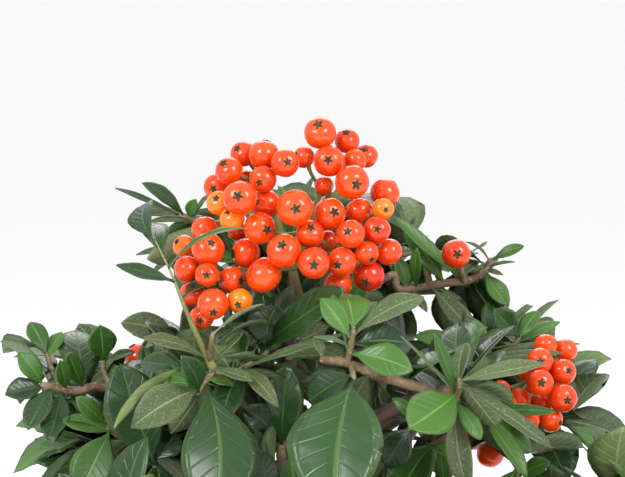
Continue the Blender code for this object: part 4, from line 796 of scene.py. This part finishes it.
twigs = {
    "radius": 0.7 * mm, "stemTip": 1.0 * mm, "sides": 10, "step": 0.9 * mm, "perSpan": 5,
    "knot": 0.16, "knotSpace": 5.5 * mm, "knotPower": 8, "relief": 0.05, "reliefLength": 12 * mm, "waves": 6,
    "endShare": 0.6, "leafStep": 1.1 * mm, "leafFromTip": 0.6 * mm, "leafFromRoot": 0.5 * mm, "seed": 6,
    # rise in mm, how green, and radii in mm
    "clusterStem": (0.4, 0.3, 1.0, 0.9, 0.8), "clusterFork": (0.8, 0.9, 0.75, 0.65, 0.55),
    "fruitStem": (1, 0.6, 0.8, 0.7, 0.6),
}
twigLook = {
    "dark": (0.105, 0.060, 0.030), "light": (0.27, 0.19, 0.105), "grain": (0.48, 0.38, 0.24),
    "green": (0.23, 0.27, 0.075), "patchScale": 140, "grainScale": 900, "relief": 0.3 * mm,
}
twigHeap = Heap()
chanceOfTwig = np.random.default_rng(twigs["seed"])


def twigFinish(look):
    twig = Finish("twigBark")
    grain = twig.noise(look["grainScale"], 4)
    patches = twig.noise(look["patchScale"], 2)
    colour = twig.mix(patches.between(0.35, 0.65), look["dark"], look["light"])
    colour = twig.mix(grain.between(0.55, 0.72) * 0.7, colour, look["grain"])
    colour = twig.mix(twig.value("green"), colour, look["green"])
    return twig.finished(colour, 0.75 - grain * 0.3, twig.bump(grain, look["relief"], 0.7))


def addTwig(path, radii, green=0.0):  # radius * (1 + knot * positive cosine^power) * (1 + relief * waves)
    radii = smooth(np.asarray(radii)[:, None], twigs["perSpan"])[:, 0]
    path, radii, along = evenly(smooth(path, twigs["perSpan"]), radii, twigs["step"])
    seed = int(chanceOfTwig.integers(1000))
    beat = np.cos(along / twigs["knotSpace"] * 2 * np.pi + seed)
    knots = 1 + twigs["knot"] * np.maximum(0, beat) ** twigs["knotPower"]
    ripple = waves(turns(twigs["sides"])[None], along[:, None], twigs["waves"], seed, twigs["reliefLength"])
    relief = radii[:, None] * knots[:, None] * (1 + twigs["relief"] * ripple)
    relief[-1] *= twigs["endShare"]
    twigHeap.add(*capped(ringsAlong(path, relief, twigs["sides"])), green=green)
    along = lengthsAlong(path)
    stops = np.arange(along[-1] - twigs["leafFromTip"], twigs["leafFromRoot"], -twigs["leafStep"])[::-1]
    return readAt(stops, along, path)  # where leaves may root


def stemTwig(a, b, kind):  # a twig from a to b that bows up between them
    rise, green, *radii = twigs[kind]
    addTwig([a, (a + b) / 2 + (0, 0, rise * mm), b], np.array(radii) * mm, green)


def rootOn(axes, point, back):  # the nearest place on the axes, and some steps back from it
    axis = min(axes, key=lambda points: np.linalg.norm(points - point, axis=1).min())
    nearest = int(np.argmin(np.linalg.norm(axis - point, axis=1)))
    return axis[max(nearest - back, 0)]


# berries: balls turned round the line from stalk to calyx

fruit = {
    "rows": 15, "sides": 22, "size": (6.4 * mm, 7.8 * mm), "flat": 0.94, "poleAngle": 0.06,
    "dimple": 0.10, "dimpleWidth": 0.33, "stalkDimple": 0.06, "stalkDimpleWidth": 0.3, "lobe": 0.012,
    "stalk": 0.42 * mm, "stalkSides": 7, "stalkFlare": 0.5, "stalkSag": 0.6 * mm, "stalkSway": 0.3 * mm,
    "stalkEnd": 0.85, "tint": (0.45, 0.85), "paleTint": 1.0, "deepTint": 0.15,
    "hidden": -0.35,  # how far a calyx that doesn't show turns away
    "rounds": 60, "push": 0.25, "nudge": 0.05, "seed": 7,
}
calyx = {
    "size": 0.32, "sizeSpread": (0.85, 1.15), "points": 20, "rim": 0.38, "sharp": 1.6, "seat": 0.9,
    "start": (0, 6),  # the turn of its first sepal
    "rings": ((0.25, -0.20, 0), (1.0, 0.12, 1), (0.85, 0.34, 1), (0.3, 0.20, 1)),  # out, up, starry or not
}
berryLook = {
    "deep": (0.56, 0.012, 0.001), "bright": (0.88, 0.068, 0.002), "orange": (0.93, 0.185, 0.006),
    "cloud": (0.92, 0.110, 0.004), "cloudScale": 180, "speck": (0.95, 0.30, 0.07), "speckScale": 1500,
    "ring": (0.50, 0.24, 0.022), "relief": 0.2 * mm, "specular": 0.45, "coat": 0.15, "coatRough": 0.06,
}
calyxLook = {
    "dark": (0.018, 0.011, 0.007), "light": (0.11, 0.065, 0.030), "scale": 1800, "change": (0.4, 0.7),
    "rough": 0.85, "relief": 0.3 * mm, "strength": 0.8,
}
stalkLook = {
    "dark": (0.16, 0.22, 0.05), "light": (0.36, 0.40, 0.13), "scale": 300, "change": (0.4, 0.65),
    "rough": 0.5, "relief": 0.2 * mm, "strength": 0.5,
}
stalkHeap, berryHeap, calyxHeap = Heap(), Heap(), Heap()
chanceOfBerry = np.random.default_rng(fruit["seed"])
berryPlaces = []


def berryFinish(look):
    shine = {"Specular_IOR_Level": look["specular"], "Coat_Weight": look["coat"]}
    berry = Finish("berrySkin", Coat_Roughness=look["coatRough"], **shine)
    tint = berry.value("tint")
    cloud = berry.noise(look["cloudScale"], 2)
    ring = 1 - berry.value("pole").between(0.20, 0.34)  # round the calyx
    colour = berry.mix(tint, look["deep"], look["bright"])
    colour = berry.mix(tint.between(0.86, 1.0), colour, look["orange"])
    colour = berry.mix(cloud.between(0.45, 0.75) * 0.35, colour, look["cloud"])
    colour = berry.mix(berry.specks(look["speckScale"], 0.10, 0.17) * 0.3, colour, look["speck"])
    colour = berry.mix(ring * 0.7, colour, look["ring"])
    return berry.finished(colour, 0.13 + cloud * 0.10 + ring * 0.25, berry.bump(cloud, look["relief"], 0.3))


def drySkin(name, look):  # two colours, mixed by one noise
    skin = Finish(name)
    cloud = skin.noise(look["scale"], 3)
    colour = skin.mix(cloud.between(*look["change"]), look["dark"], look["light"])
    return skin.finished(colour, look["rough"], skin.bump(cloud, look["relief"], look["strength"]))


# r = R sin(a) and h = -flat * R cos(a), less dimple * R * exp(-(angle from the pole / width)^2) at
# the calyx, and with a smaller dimple at the stalk.
def addBerry(foot, centre, diameter, facing, tint):
    facing = unit(facing)
    side, other = crossways(facing, (0.3, 0.5, 0.81))
    radius = diameter / 2
    angle = np.linspace(fruit["poleAngle"], np.pi - fruit["poleAngle"], fruit["rows"])
    turn = turns(fruit["sides"])
    fromPole = np.pi - angle
    height = -fruit["flat"] * np.cos(angle)
    height = height - fruit["dimple"] * np.exp(-((fromPole / fruit["dimpleWidth"]) ** 2))
    height = height + fruit["stalkDimple"] * np.exp(-((angle / fruit["stalkDimpleWidth"]) ** 2))
    lobes = 1 + fruit["lobe"] * np.cos(5 * turn[None] + 1) * np.sin(angle)[:, None]
    spread = np.cos(turn)[:, None] * side + np.sin(turn)[:, None] * other
    reach = radius * (np.sin(angle)[:, None] * lobes)[..., None]
    rings = centre + reach * spread[None] + radius * height[:, None, None] * facing
    pole = np.concatenate((np.repeat(fromPole, fruit["sides"]), (np.pi, 0)))
    berryHeap.add(*capped(rings), tint=tint, pole=pole)
    berryPlaces.append((*centre, diameter))
    seat = centre + facing * radius * (fruit["flat"] - fruit["dimple"] * calyx["seat"])
    addCalyx(seat, facing, side, other, radius)
    sway = chanceOfBerry.normal(0, fruit["stalkSway"], 3)
    middle = (foot + centre) / 2 + (0, 0, -fruit["stalkSag"]) + sway
    end = centre + unit(foot - centre) * radius * fruit["stalkEnd"]
    path = smooth([foot, middle, end], twigs["perSpan"])
    radii = fruit["stalk"] * (1 + fruit["stalkFlare"] * np.linspace(0, 1, len(path)) ** 4)
    stalkHeap.add(*capped(ringsAlong(path, radii[:, None], fruit["stalkSides"])))


# Five dry sepals: the star's rim is at rim + (1 - rim) * |cos(2.5 * turn)|^sharp of the size.
def addCalyx(middle, facing, side, other, radius):
    start = chanceOfBerry.uniform(*calyx["start"])
    turn = turns(calyx["points"])
    star = calyx["rim"] + (1 - calyx["rim"]) * np.abs(np.cos(2.5 * turn)) ** calyx["sharp"]
    size = radius * calyx["size"] * chanceOfBerry.uniform(*calyx["sizeSpread"])
    around = np.cos(turn + start)[:, None] * side + np.sin(turn + start)[:, None] * other
    rings = []
    for outward, high, starry in calyx["rings"]:
        rim = 1 + (star - 1) * starry
        rings.append(middle + size * outward * rim[:, None] * around + facing * size * high)
    calyxHeap.add(*capped(np.array(rings)))


def settleBerries(rows):  # berries that would cross are moved apart along the line of sight
    near = np.array([row[3] for row in rows], float)
    size = np.array([row[2] * sight["step"] for row in rows])
    for _ in range(fruit["rounds"]):
        centres = np.array([seen(row[0], row[1], n) for row, n in zip(rows, near)])
        for i in range(len(rows)):
            for j in range(i):
                short = 0.50 * (size[i] + size[j]) - np.linalg.norm(centres[i] - centres[j])
                if short > 0:
                    push = fruit["push"] * short / mm + fruit["nudge"]
                    sign = 1 if near[i] >= near[j] else -1
                    near[i] += sign * push
                    near[j] -= sign * push
    return [(seen(row[0], row[1], n), diameter) for row, n, diameter in zip(rows, near, size)]


def berryTint(place):
    if place in paleBerries:
        return fruit["paleTint"]
    if place in deepBerries:
        return fruit["deepTint"]
    return chanceOfBerry.uniform(*fruit["tint"])


def hangBerries(rows, forks):  # each on its nearest fork, with the calyx where the picture shows it
    forkPoints = [seen(*fork) for fork in forks]
    for row, (centre, diameter) in zip(rows, settleBerries(rows)):
        foot = min(forkPoints, key=lambda point: np.linalg.norm(point - centre))
        across, high = row[4] / (row[2] / 2), -row[5] / (row[2] / 2)
        spread = across**2 + high**2
        towards = math.sqrt(1 - spread) if spread < 1 else fruit["hidden"]
        facing = right * across + up * high - forward * towards
        addBerry(foot, centre, diameter, facing, berryTint(row[:2]))


def layCluster(rows, forks, hub, foot):
    stemTwig(foot, hub, "clusterStem")
    for fork in forks:
        stemTwig(hub, seen(*fork), "clusterFork")
    hangBerries(rows, forks)


# the front, laid as the picture shows it

front = {
    "youngUnder": 13, "glossyOver": 24,  # leaf widths in picture steps that tell its look
    "thornRadii": (1.5, 0.12), "twigRadii": (1.15, 0.8), "thornGreen": 0.55, "twigGreen": 0.15,
    "sideStem": 0.95, "endStem": 0.98, "lead": 0.4,
}


def stemOf(bough, places, side):  # from beside the bough, or on from its tip
    path, radii = boughs[bough]
    tip, way = path[-1], unit(path[-1] - path[-2])
    if side:
        start = path[np.argmin(np.linalg.norm(path - places[0], axis=1))]
        return np.vstack((start, places)), radii[-1] * front["sideStem"]
    lead = np.linalg.norm(places[0] - tip) * front["lead"]
    return np.vstack((tip - way * mm, tip + way * lead, places)), radii[-1] * front["endStem"]


def lookOf(place, width):  # by the tip's place, or else by width
    for look, tips in lookOfTips.items():
        if place in tips:
            return look
    if width < front["youngUnder"]:
        return "young"
    return "glossy" if width > front["glossyOver"] else "fresh"


def layFront(plan):  # one mass's twigs, berries and leaves
    stem, thick = stemOf(plan["bough"], [seen(*place) for place in plan["twigs"][0]], plan.get("side"))
    axes = [addTwig(stem, np.linspace(thick, twigs["stemTip"], len(stem)))]
    for twig in plan["twigs"][1:]:
        path = np.array([seen(*place) for place in twig])
        path[0] = rootOn(axes, path[0], 0)
        kind = "thorn" if twig[-1] == thornTip else "twig"
        radii = twigs["radius"] * np.linspace(*front[kind + "Radii"], len(path))
        axes.append(addTwig(path, radii, front[kind + "Green"]))
    if "fruit" in plan:
        rows, forks, hub = plan["fruit"]
        layCluster(rows, forks, seen(*hub), rootOn(axes, seen(*hub), 0))
    for middle, leaves in plan["rosettes"]:
        for i, (across, down, near, width, roll) in enumerate(leaves):
            root, tip = rootOn(axes, seen(*middle), i), seen(across, down, near)
            look, tint = lookOf((across, down), width), chanceOfLeaf.uniform(*blade["tint"])
            normal = leafNormal(root, tip, roll)
            addLeaf(root, tip, width * sight["step"], normal, look, tint, blade["frontGrid"])
    return axes


# the crown, grown by rule: shoots turn round each stem by the golden angle, and leaves round each shoot

crown = {
    "leafLength": (17 * mm, 27 * mm), "leafSlim": (0.42, 0.60), "leafLean": (35, 80), "leafRise": 0.12,
    "faceUp": 0.8, "faceAlong": 0.4, "tumble": 0.25, "tries": 6, "looks": (0.58, 0.30, 0.12),
    "overSoil": 14 * mm, "berryGap": 1.2 * mm, "proud": 4 * mm, "probe": np.linspace(0.3, 1, 6)[:, None],
    "twigShare": 1.5, "stemLead": 7, "stemRise": 3, "stemRadius": 0.98,
    "turnSpread": 0.3, "shootRise": 0.55, "shootAlong": 0.45, "shootLength": (0.7, 1.0), "taper": 0.25,
    "bendRise": 1.2 * mm, "bendSway": 0.6 * mm, "shootRadii": (0.8, 0.65, 0.45), "shootGreen": 0.2,
    "shootLeaves": ((3, 6), (2, 4), (1, 3)),  # thirds of the shoot, and leaves at the end of that
    "endLeaves": 7, "stemShares": (0.25, 0.45, 0.65, 0.85), "stemLeaves": 4,
    "behindShares": (0.35, 0.6, 0.85, 1.0), "behindLeaves": 3, "behindReach": 0.85, "behindLean": 0.45,
    "behindWay": ((-0.5, 0.5), 0.9, (-0.5, 0.1)), "behindSeed": 11,
}
cluster = {
    "extra": 6, "forkBack": 7, "dome": 1.25, "reach": (9, 12), "usual": 12, "sway": 0.25, "tint": (0.3, 0.95),
}
boxLow = np.array(cadBox[0]) - crown["proud"]
boxHigh = np.array(cadBox[1]) + crown["proud"]
upright = (0.2, 0.3, 0.93)


def hidesSky(points):  # whether any falls where the picture shows the background
    across, down = inPicture(points)
    return any(((across > a) & (across < c) & (down > b) & (down < d)).any() for a, b, c, d in skyBoxes)


def fits(root, tip, width):  # clear of other leaves' middles, of berries, of the sky and of the box
    points = root + (tip - root) * crown["probe"]
    if hidesSky(points) or points[:, 2].min() < ground + crown["overSoil"]:
        return False
    if (points < boxLow).any() or (points > boxHigh).any():
        return False
    middles = np.array(leafMiddles)
    apart = np.linalg.norm(middles[:, :3] - (root + (tip - root) * blade["middle"]), axis=1)
    if (apart < blade["gap"] * (width + middles[:, 3]) / 2).any():
        return False
    berries = np.array(berryPlaces)
    near = np.linalg.norm(berries[None, :, :3] - points[:, None], axis=2) - berries[None, :, 3] / 2
    return bool((near > crown["berryGap"]).all())


# Leaves from the axis's end backwards. Each turns on by the golden angle until it fits, and leans from way.
def growRosette(axis, way, count, chance, reach=1.0, behind=False):
    side, other = crossways(way, upright)
    turn = chance.uniform(0, 2 * np.pi)
    for i in range(count):
        root = axis[max(len(axis) - 1 - i, 0)]
        for _ in range(crown["tries"]):
            turn += golden
            lean = math.radians(chance.uniform(*crown["leafLean"]))
            out = way * math.cos(lean) + (side * math.cos(turn) + other * math.sin(turn)) * math.sin(lean)
            out = unit(out + (0, 0, crown["leafRise"]))
            length = chance.uniform(*crown["leafLength"]) * reach
            width = length * chance.uniform(*crown["leafSlim"])
            tip = root + out * length
            normal = np.array((0, 0, crown["faceUp"])) + way * crown["faceAlong"]
            normal = unit(normal + chance.normal(0, crown["tumble"], 3))
            if behind and tip[1] < root[1] + crown["behindLean"] * length:
                continue
            if fits(root, tip, width):
                look = chance.choice(list(leafLooks), p=crown["looks"])
                look = "glossy" if behind else look
                addLeaf(root, tip, width, normal, look, chance.uniform(0, 1), blade["crownGrid"])
                break


def growFruit(middle, way, count, chance, stem):  # over a dome: the lean's cosine falls evenly from 1
    way = unit(np.array(way))
    side, other = crossways(way, upright)
    fork = middle - way * cluster["forkBack"] * mm
    hold = min(stem, key=lambda point: np.linalg.norm(point - fork))
    stemTwig(hold, fork, "fruitStem")
    index = np.arange(count)
    lean = np.arccos(1 - cluster["dome"] * (index + 0.5) / count)[:, None]
    turn = (index * golden)[:, None]
    out = way * np.cos(lean) + (side * np.cos(turn) + other * np.sin(turn)) * np.sin(lean)
    size = chance.uniform(*fruit["size"], count)
    reach = chance.uniform(*cluster["reach"], count) * mm * math.sqrt(count / cluster["usual"])
    centres = fork + out * reach[:, None]
    for _ in range(fruit["rounds"]):
        for i in range(count):
            for j in range(i):
                apart = centres[i] - centres[j]
                short = 0.5 * (size[i] + size[j]) - np.linalg.norm(apart)
                if short > 0:
                    centres[i] = centres[i] + unit(apart) * short / 2
                    centres[j] = centres[j] - unit(apart) * short / 2
    for centre, diameter, facing in zip(centres, size, out):
        facing = facing + chance.normal(0, cluster["sway"], 3)
        addBerry(fork, centre, diameter, facing, chance.uniform(*cluster["tint"]))


def startRuled(name):  # the stem of a spray, and its berries
    source, end, *_ = ruledPlan[name]
    path, radii = boughs[source]
    tip, way, finish = path[-1], unit(path[-1] - path[-2]), aboveSoil(*end)
    lead, rise = tip + way * crown["stemLead"] * mm, (0, 0, crown["stemRise"] * mm)
    stem = [tip - way * mm, lead, (tip + finish) / 2 + rise, finish]
    axis = addTwig(stem, np.linspace(radii[-1] * crown["stemRadius"], twigs["stemTip"], len(stem)))
    if name in ruledFruit:
        place, facing, count, seed = ruledFruit[name]
        growFruit(aboveSoil(*place), facing, count + cluster["extra"], np.random.default_rng(seed), axis)
    return axis


def growRuled(name, axis):  # shoots along a stem, shorter towards its end, and leaves on both
    _, _, reach, count, seed = ruledPlan[name]
    chance = np.random.default_rng(seed)
    along = unit(axis[-1] - axis[0])
    side = unit(np.cross(along, (0, 0, 1.0)))
    count = int(count * crown["twigShare"])
    for i in range(count):
        share = (i + 0.8) / count
        at = axis[int(share * (len(axis) - 1))]
        turn = i * golden + chance.uniform(-crown["turnSpread"], crown["turnSpread"])
        rise = np.array((0, 0, crown["shootRise"])) * math.sin(turn)
        out = unit(side * math.cos(turn) + rise + along * crown["shootAlong"])
        length = reach * mm * chance.uniform(*crown["shootLength"]) * (1 - crown["taper"] * share)
        sway = chance.normal(0, crown["bendSway"], 3)
        bend, end = at + out * length * 0.5 + (0, 0, crown["bendRise"]) + sway, at + out * length
        if hidesSky(np.array([at, bend, end])):
            continue
        shoot = addTwig([at, bend, end], np.array(crown["shootRadii"]) * mm, crown["shootGreen"])
        for thirds, leaves in crown["shootLeaves"]:
            growRosette(shoot[: len(shoot) * thirds // 3], out, leaves, chance)
    growRosette(axis, along, crown["endLeaves"], chance)
    for share in crown["stemShares"]:
        growRosette(axis[: int(share * len(axis))], np.array((0, 0, 1.0)), crown["stemLeaves"], chance)


def growBehind(axes, chance):  # dark leaves behind those that the front shows
    across, back, high = crown["behindWay"]
    for axis in axes:
        for share in crown["behindShares"]:
            away = unit(np.array((chance.uniform(*across), back, chance.uniform(*high))))
            lower = axis[: max(int(share * len(axis)), 1)]
            growRosette(lower, away, crown["behindLeaves"], chance, crown["behindReach"], behind=True)


trunkEnd = trunkPath[-1] - unit(trunkPath[-1] - trunkPath[-2]) * mm
layCluster(topBerries, topForks, seen(*topHub), trunkEnd)
frontAxes = [layFront(plan) for plan in frontPlan.values()]
print("front laid")
chance = np.random.default_rng(crown["behindSeed"])
for axes in frontAxes:
    growBehind(axes, chance)
ruledAxes = {name: startRuled(name) for name in ruledPlan}
for name, axis in ruledAxes.items():
    growRuled(name, axis)
print("crown grown")

replacedBy = {"glossy": [*frontPlan, *ruledPlan]}  # the glossy leaves stand for every spray
for look, heap in leafHeaps.items():
    finish = leafFinish(look + "Leaf", leafLooks[look], leafSkin)
    heap.make("leaves" + look.capitalize(), finish, "foliage", replacedBy.get(look, ()))
twigHeap.make("twigs", twigFinish(twigLook), "bark")
stalkHeap.make("fruitStalks", drySkin("fruitStalk", stalkLook), "foliage")
berryHeap.make("berries", berryFinish(berryLook), "berry", ["fruit_top"])
calyxHeap.make("calyxes", drySkin("driedCalyx", calyxLook), "bark")


# pot: a profile carried round a superellipse

pot = {
    "length": 158 * mm, "depth": 118 * mm, "height": 42 * mm, "wall": 6 * mm, "lipHeight": 7 * mm,
    "lipProud": 4 * mm, "foot": 6 * mm, "oval": 2.5, "soilBelowLip": 4 * mm, "sides": 160,
    "bevel": 1.1 * mm, "bevelMost": 0.45, "bevelSteps": 4,  # most is a share of a side
    "middle": 40 * mm,  # where the floor and the underside are closed
    "lipWear": 1.0 * mm, "sideWear": 0.6 * mm, "sideWearShare": 0.4,
}
clayLook = {
    "dark": (0.105, 0.052, 0.033), "light": (0.185, 0.098, 0.062), "cloudScale": 14,
    "band": (0.085, 0.043, 0.030), "bandScale": 90, "bandStretch": (0.12, 0.12, 1),
    "speck": (0.035, 0.022, 0.018), "speckScale": 420, "wear": (0.30, 0.18, 0.12), "gritScale": 700,
    "relief": 0.4 * mm,
}


def clayFinish(look):
    clay = Finish("stoneware")
    cloud, grit = clay.noise(look["cloudScale"], 4), clay.noise(look["gritScale"], 4)
    bands = clay.noise(look["bandScale"], 2, clay.place(look["bandStretch"]))
    colour = clay.mix(cloud.between(0.35, 0.68), look["dark"], look["light"])
    colour = clay.mix(bands.between(0.45, 0.7) * 0.35, colour, look["band"])
    colour = clay.mix(clay.specks(look["speckScale"], 0.10, 0.16) * 0.6, colour, look["speck"])
    colour = clay.mix(clay.value("edge") * grit.between(0.45, 0.6) * 0.5, colour, look["wear"])
    return clay.finished(colour, 0.55 + grit * 0.25, clay.bump(grit * 0.6 + bands * 0.8, look["relief"], 0.6))


def ovalRings(profile, sides):  # |x/a|^n + |y/b|^n = 1, with a and b less the inset at each height
    turn = turns(sides) + np.pi / sides
    inset, height = np.asarray(profile, float).T
    halves = (pot["length"] / 2 - pot["lipProud"], pot["depth"] / 2 - pot["lipProud"])
    x, y = (
        np.sign(wave) * np.abs(wave) ** (2 / pot["oval"]) * (half - inset[:, None])
        for wave, half in zip((np.cos(turn), np.sin(turn)), halves)
    )
    return np.stack((x, y, np.broadcast_to(height[:, None], x.shape)), -1)


def roundedProfile(corners):  # each inner corner cut by a short arc, as a quadratic curve
    corners = np.asarray(corners, float)
    out = [corners[0]]
    for before, corner, after in zip(corners, corners[1:], corners[2:]):
        back, on = before - corner, after - corner
        most = pot["bevelMost"]
        reach = min(pot["bevel"], np.linalg.norm(back) * most, np.linalg.norm(on) * most)
        a, b = corner + unit(back) * reach, corner + unit(on) * reach
        t = np.linspace(0, 1, pot["bevelSteps"] + 1)[:, None]
        out += list(a * (1 - t) ** 2 + 2 * corner * t * (1 - t) + b * t**2)
    return np.array([*out, corners[-1]])


foot, wall, lip = pot["foot"], pot["wall"], pot["height"]
floorHeight, underLip = foot + wall, lip - pot["lipHeight"]
profile = roundedProfile([  # inset from the body's outside, and height
    (pot["middle"], 0), (12 * mm, 0), (12 * mm, foot - 1 * mm), (8 * mm, foot), (3.2 * mm, foot + 5 * mm),
    (1.2 * mm, foot + 12 * mm), (0, underLip), (-pot["lipProud"], underLip + 0.8 * mm),
    (-pot["lipProud"], lip), (wall, lip), (wall + 3 * mm, floorHeight + 6 * mm),
    (wall + 9 * mm, floorHeight), (pot["middle"], floorHeight),
])
lipWear = np.exp(-(((profile[:, 1] - lip) / pot["lipWear"]) ** 2))
sideWear = np.exp(-(((profile[:, 0] + pot["lipProud"]) / pot["sideWear"]) ** 2)) * pot["sideWearShare"]
edge = np.repeat(np.clip(lipWear + sideWear, 0, 1), pot["sides"])
potHeap = Heap()
potHeap.add(*capped(ovalRings(profile, pot["sides"])), edge=np.concatenate((edge, (0, 0))))
potHeap.make("stonewarePot", clayFinish(clayLook), "pot_clay", ["pot"])


# soil: the dome that the part has, roughened, with grit lying on it

soil = {
    "gap": 0.45 * mm, "edge": 1.0 * mm, "run": 46 * mm, "steep": 1.55, "rows": 34, "sides": 180,
    "rough": 0.28 * mm, "seed": 9, "deepRings": ((9.5 * mm, 0.3 * mm), (3.5 * mm, 6 * mm)),
}
earthLook = {
    "darkSoil": ((0.020, 0.013, 0.009), (0.060, 0.040, 0.026)),
    "paleGrit": ((0.16, 0.13, 0.095), (0.30, 0.25, 0.19)),
    "darkGrit": ((0.035, 0.025, 0.018), (0.10, 0.07, 0.048)),
    "crumbScale": 900, "cloudScale": 70, "crumbLight": 2.1, "relief": 0.8 * mm,
}
grit = {
    "gritPale": ("paleGrit", 420, 31), "gritDark": ("darkGrit", 700, 32),  # finish, how many, seed
    "size": (0.5 * mm, 1.3 * mm), "sides": 6, "wobble": (0.75, 1.2),
    "spread": (0.02, 0.93), "fromWall": 2 * mm,
    "rings": ((0.7, -0.36), (1.0, 0.0), (0.72, 0.40)),  # outward and up, in radii
}


def earthFinish(name):
    dark, light = earthLook[name]
    earth = Finish(name)
    crumb, cloud = earth.noise(earthLook["crumbScale"], 5), earth.noise(earthLook["cloudScale"], 3)
    colour = earth.mix(cloud.between(0.35, 0.65), dark, light)
    paler = tuple(earthLook["crumbLight"] * channel for channel in light)
    colour = earth.mix(crumb.between(0.55, 0.7) * 0.6, colour, paler)
    return earth.finished(colour, 0.95, earth.bump(crumb, earthLook["relief"], 0.9))


def domeHeight(inwards):  # a quarter sine up from the rim, then level
    share = np.clip(inwards / soil["run"] * soil["steep"], 0, 1)
    return rim + (ground - rim) * np.sin(share * np.pi / 2)


def scatterGrit(name, finish, count, seed):  # squashed lumps lying on the dome
    chance = np.random.default_rng(seed)
    heap = Heap()
    turn = turns(grit["sides"])
    a, b = (pot[side] / 2 - pot["lipProud"] - inner - grit["fromWall"] for side in ("length", "depth"))
    for _ in range(count):
        angle, out = chance.uniform(0, 2 * np.pi), math.sqrt(chance.uniform(*grit["spread"]))
        x, y, z = a * out * math.cos(angle), b * out * math.sin(angle), float(domeHeight((1 - out) * a))
        radius = chance.uniform(*grit["size"])
        rings = []
        for outward, high in grit["rings"]:
            reach = radius * outward * chance.uniform(*grit["wobble"], grit["sides"])
            level = np.full(grit["sides"], z + radius * high)
            rings.append(np.column_stack((x + reach * np.cos(turn), y + reach * np.sin(turn), level)))
        heap.add(*capped(np.array(rings)))
    heap.make(name, earthFinish(finish), "soil")


rim = pot["height"] - pot["soilBelowLip"]
inner = pot["wall"] + soil["gap"]
inwards = np.linspace(0, 1, soil["rows"]) * soil["run"]
deep = [(inner + inset, floorHeight + height) for inset, height in soil["deepRings"]]
rings = ovalRings([*deep, *zip(inner + soil["edge"] + inwards, domeHeight(inwards))], soil["sides"])
rough = np.random.default_rng(soil["seed"]).normal(0, soil["rough"], rings.shape[:2])
rough[: len(deep)] = 0
rings[..., 2] += rough
soilHeap = Heap()
soilHeap.add(*capped(rings))
soilHeap.make("soilSurface", earthFinish("darkSoil"), "soil", ["soil"])
for name in ("gritPale", "gritDark"):
    scatterGrit(name, *grit[name])
print("pot and soil made")


# studio: pale floor, even sky, two soft boxes in front and one behind

studio = {
    "floorRadius": 60.0, "floorSides": 96, "floor": (0.93, 0.93, 0.93), "sky": 1.0,
    "boxes": (  # place, size, power
        ((-0.62, -0.75, 0.78), 0.42, 8.0), ((0.62, -0.75, 0.78), 0.42, 8.0), ((0.0, 0.9, 0.95), 0.7, 5.0),
    ),
    "boxesLookAt": (0, 0, 0.2), "farthest": 200,
}


def setUp(name, data, place=(0, 0, 0), turned=(0, 0, 0)):
    thing = bpy.data.objects.new(name, data)
    thing.location, thing.rotation_euler = place, turned
    bpy.context.scene.collection.objects.link(thing)
    return thing


paper = Finish("paleFloor", Base_Color=studio["floor"], Roughness=0.9)
around = turns(studio["floorSides"])
disc = np.column_stack((np.cos(around), np.sin(around), around * 0)) * studio["floorRadius"]
floorMesh = bpy.data.meshes.new("floor")
floorMesh.from_pydata(disc.tolist(), [], [list(range(studio["floorSides"]))])
floorMesh.materials.append(paper.material)
setUp("floor", floorMesh)

world = bpy.data.worlds.new("evenSky")
bpy.context.scene.world = world
world.use_nodes = True
background = world.node_tree.nodes["Background"]
background.inputs["Color"].default_value = (1, 1, 1, 1)
background.inputs["Strength"].default_value = studio["sky"]

for number, (place, size, power) in enumerate(studio["boxes"]):
    lamp = bpy.data.lights.new(f"softBox{number}", "AREA")
    lamp.energy, lamp.size = power, size
    away = np.array(place) - studio["boxesLookAt"]
    tilt, spin = math.acos(unit(away)[2]), math.atan2(away[1], away[0]) + math.pi / 2
    setUp(f"softBox{number}", lamp, place, (tilt, 0, spin))

camera = bpy.data.cameras.new("camera")
camera.lens = focal / sight["pictureWidth"] * camera.sensor_width
camera.clip_end = studio["farthest"]
bpy.context.scene.camera = setUp("camera", camera, eye, (math.pi / 2 - sight["down"], 0, 0))
bpy.context.scene.view_settings.view_transform = "Standard"
print("studio made")
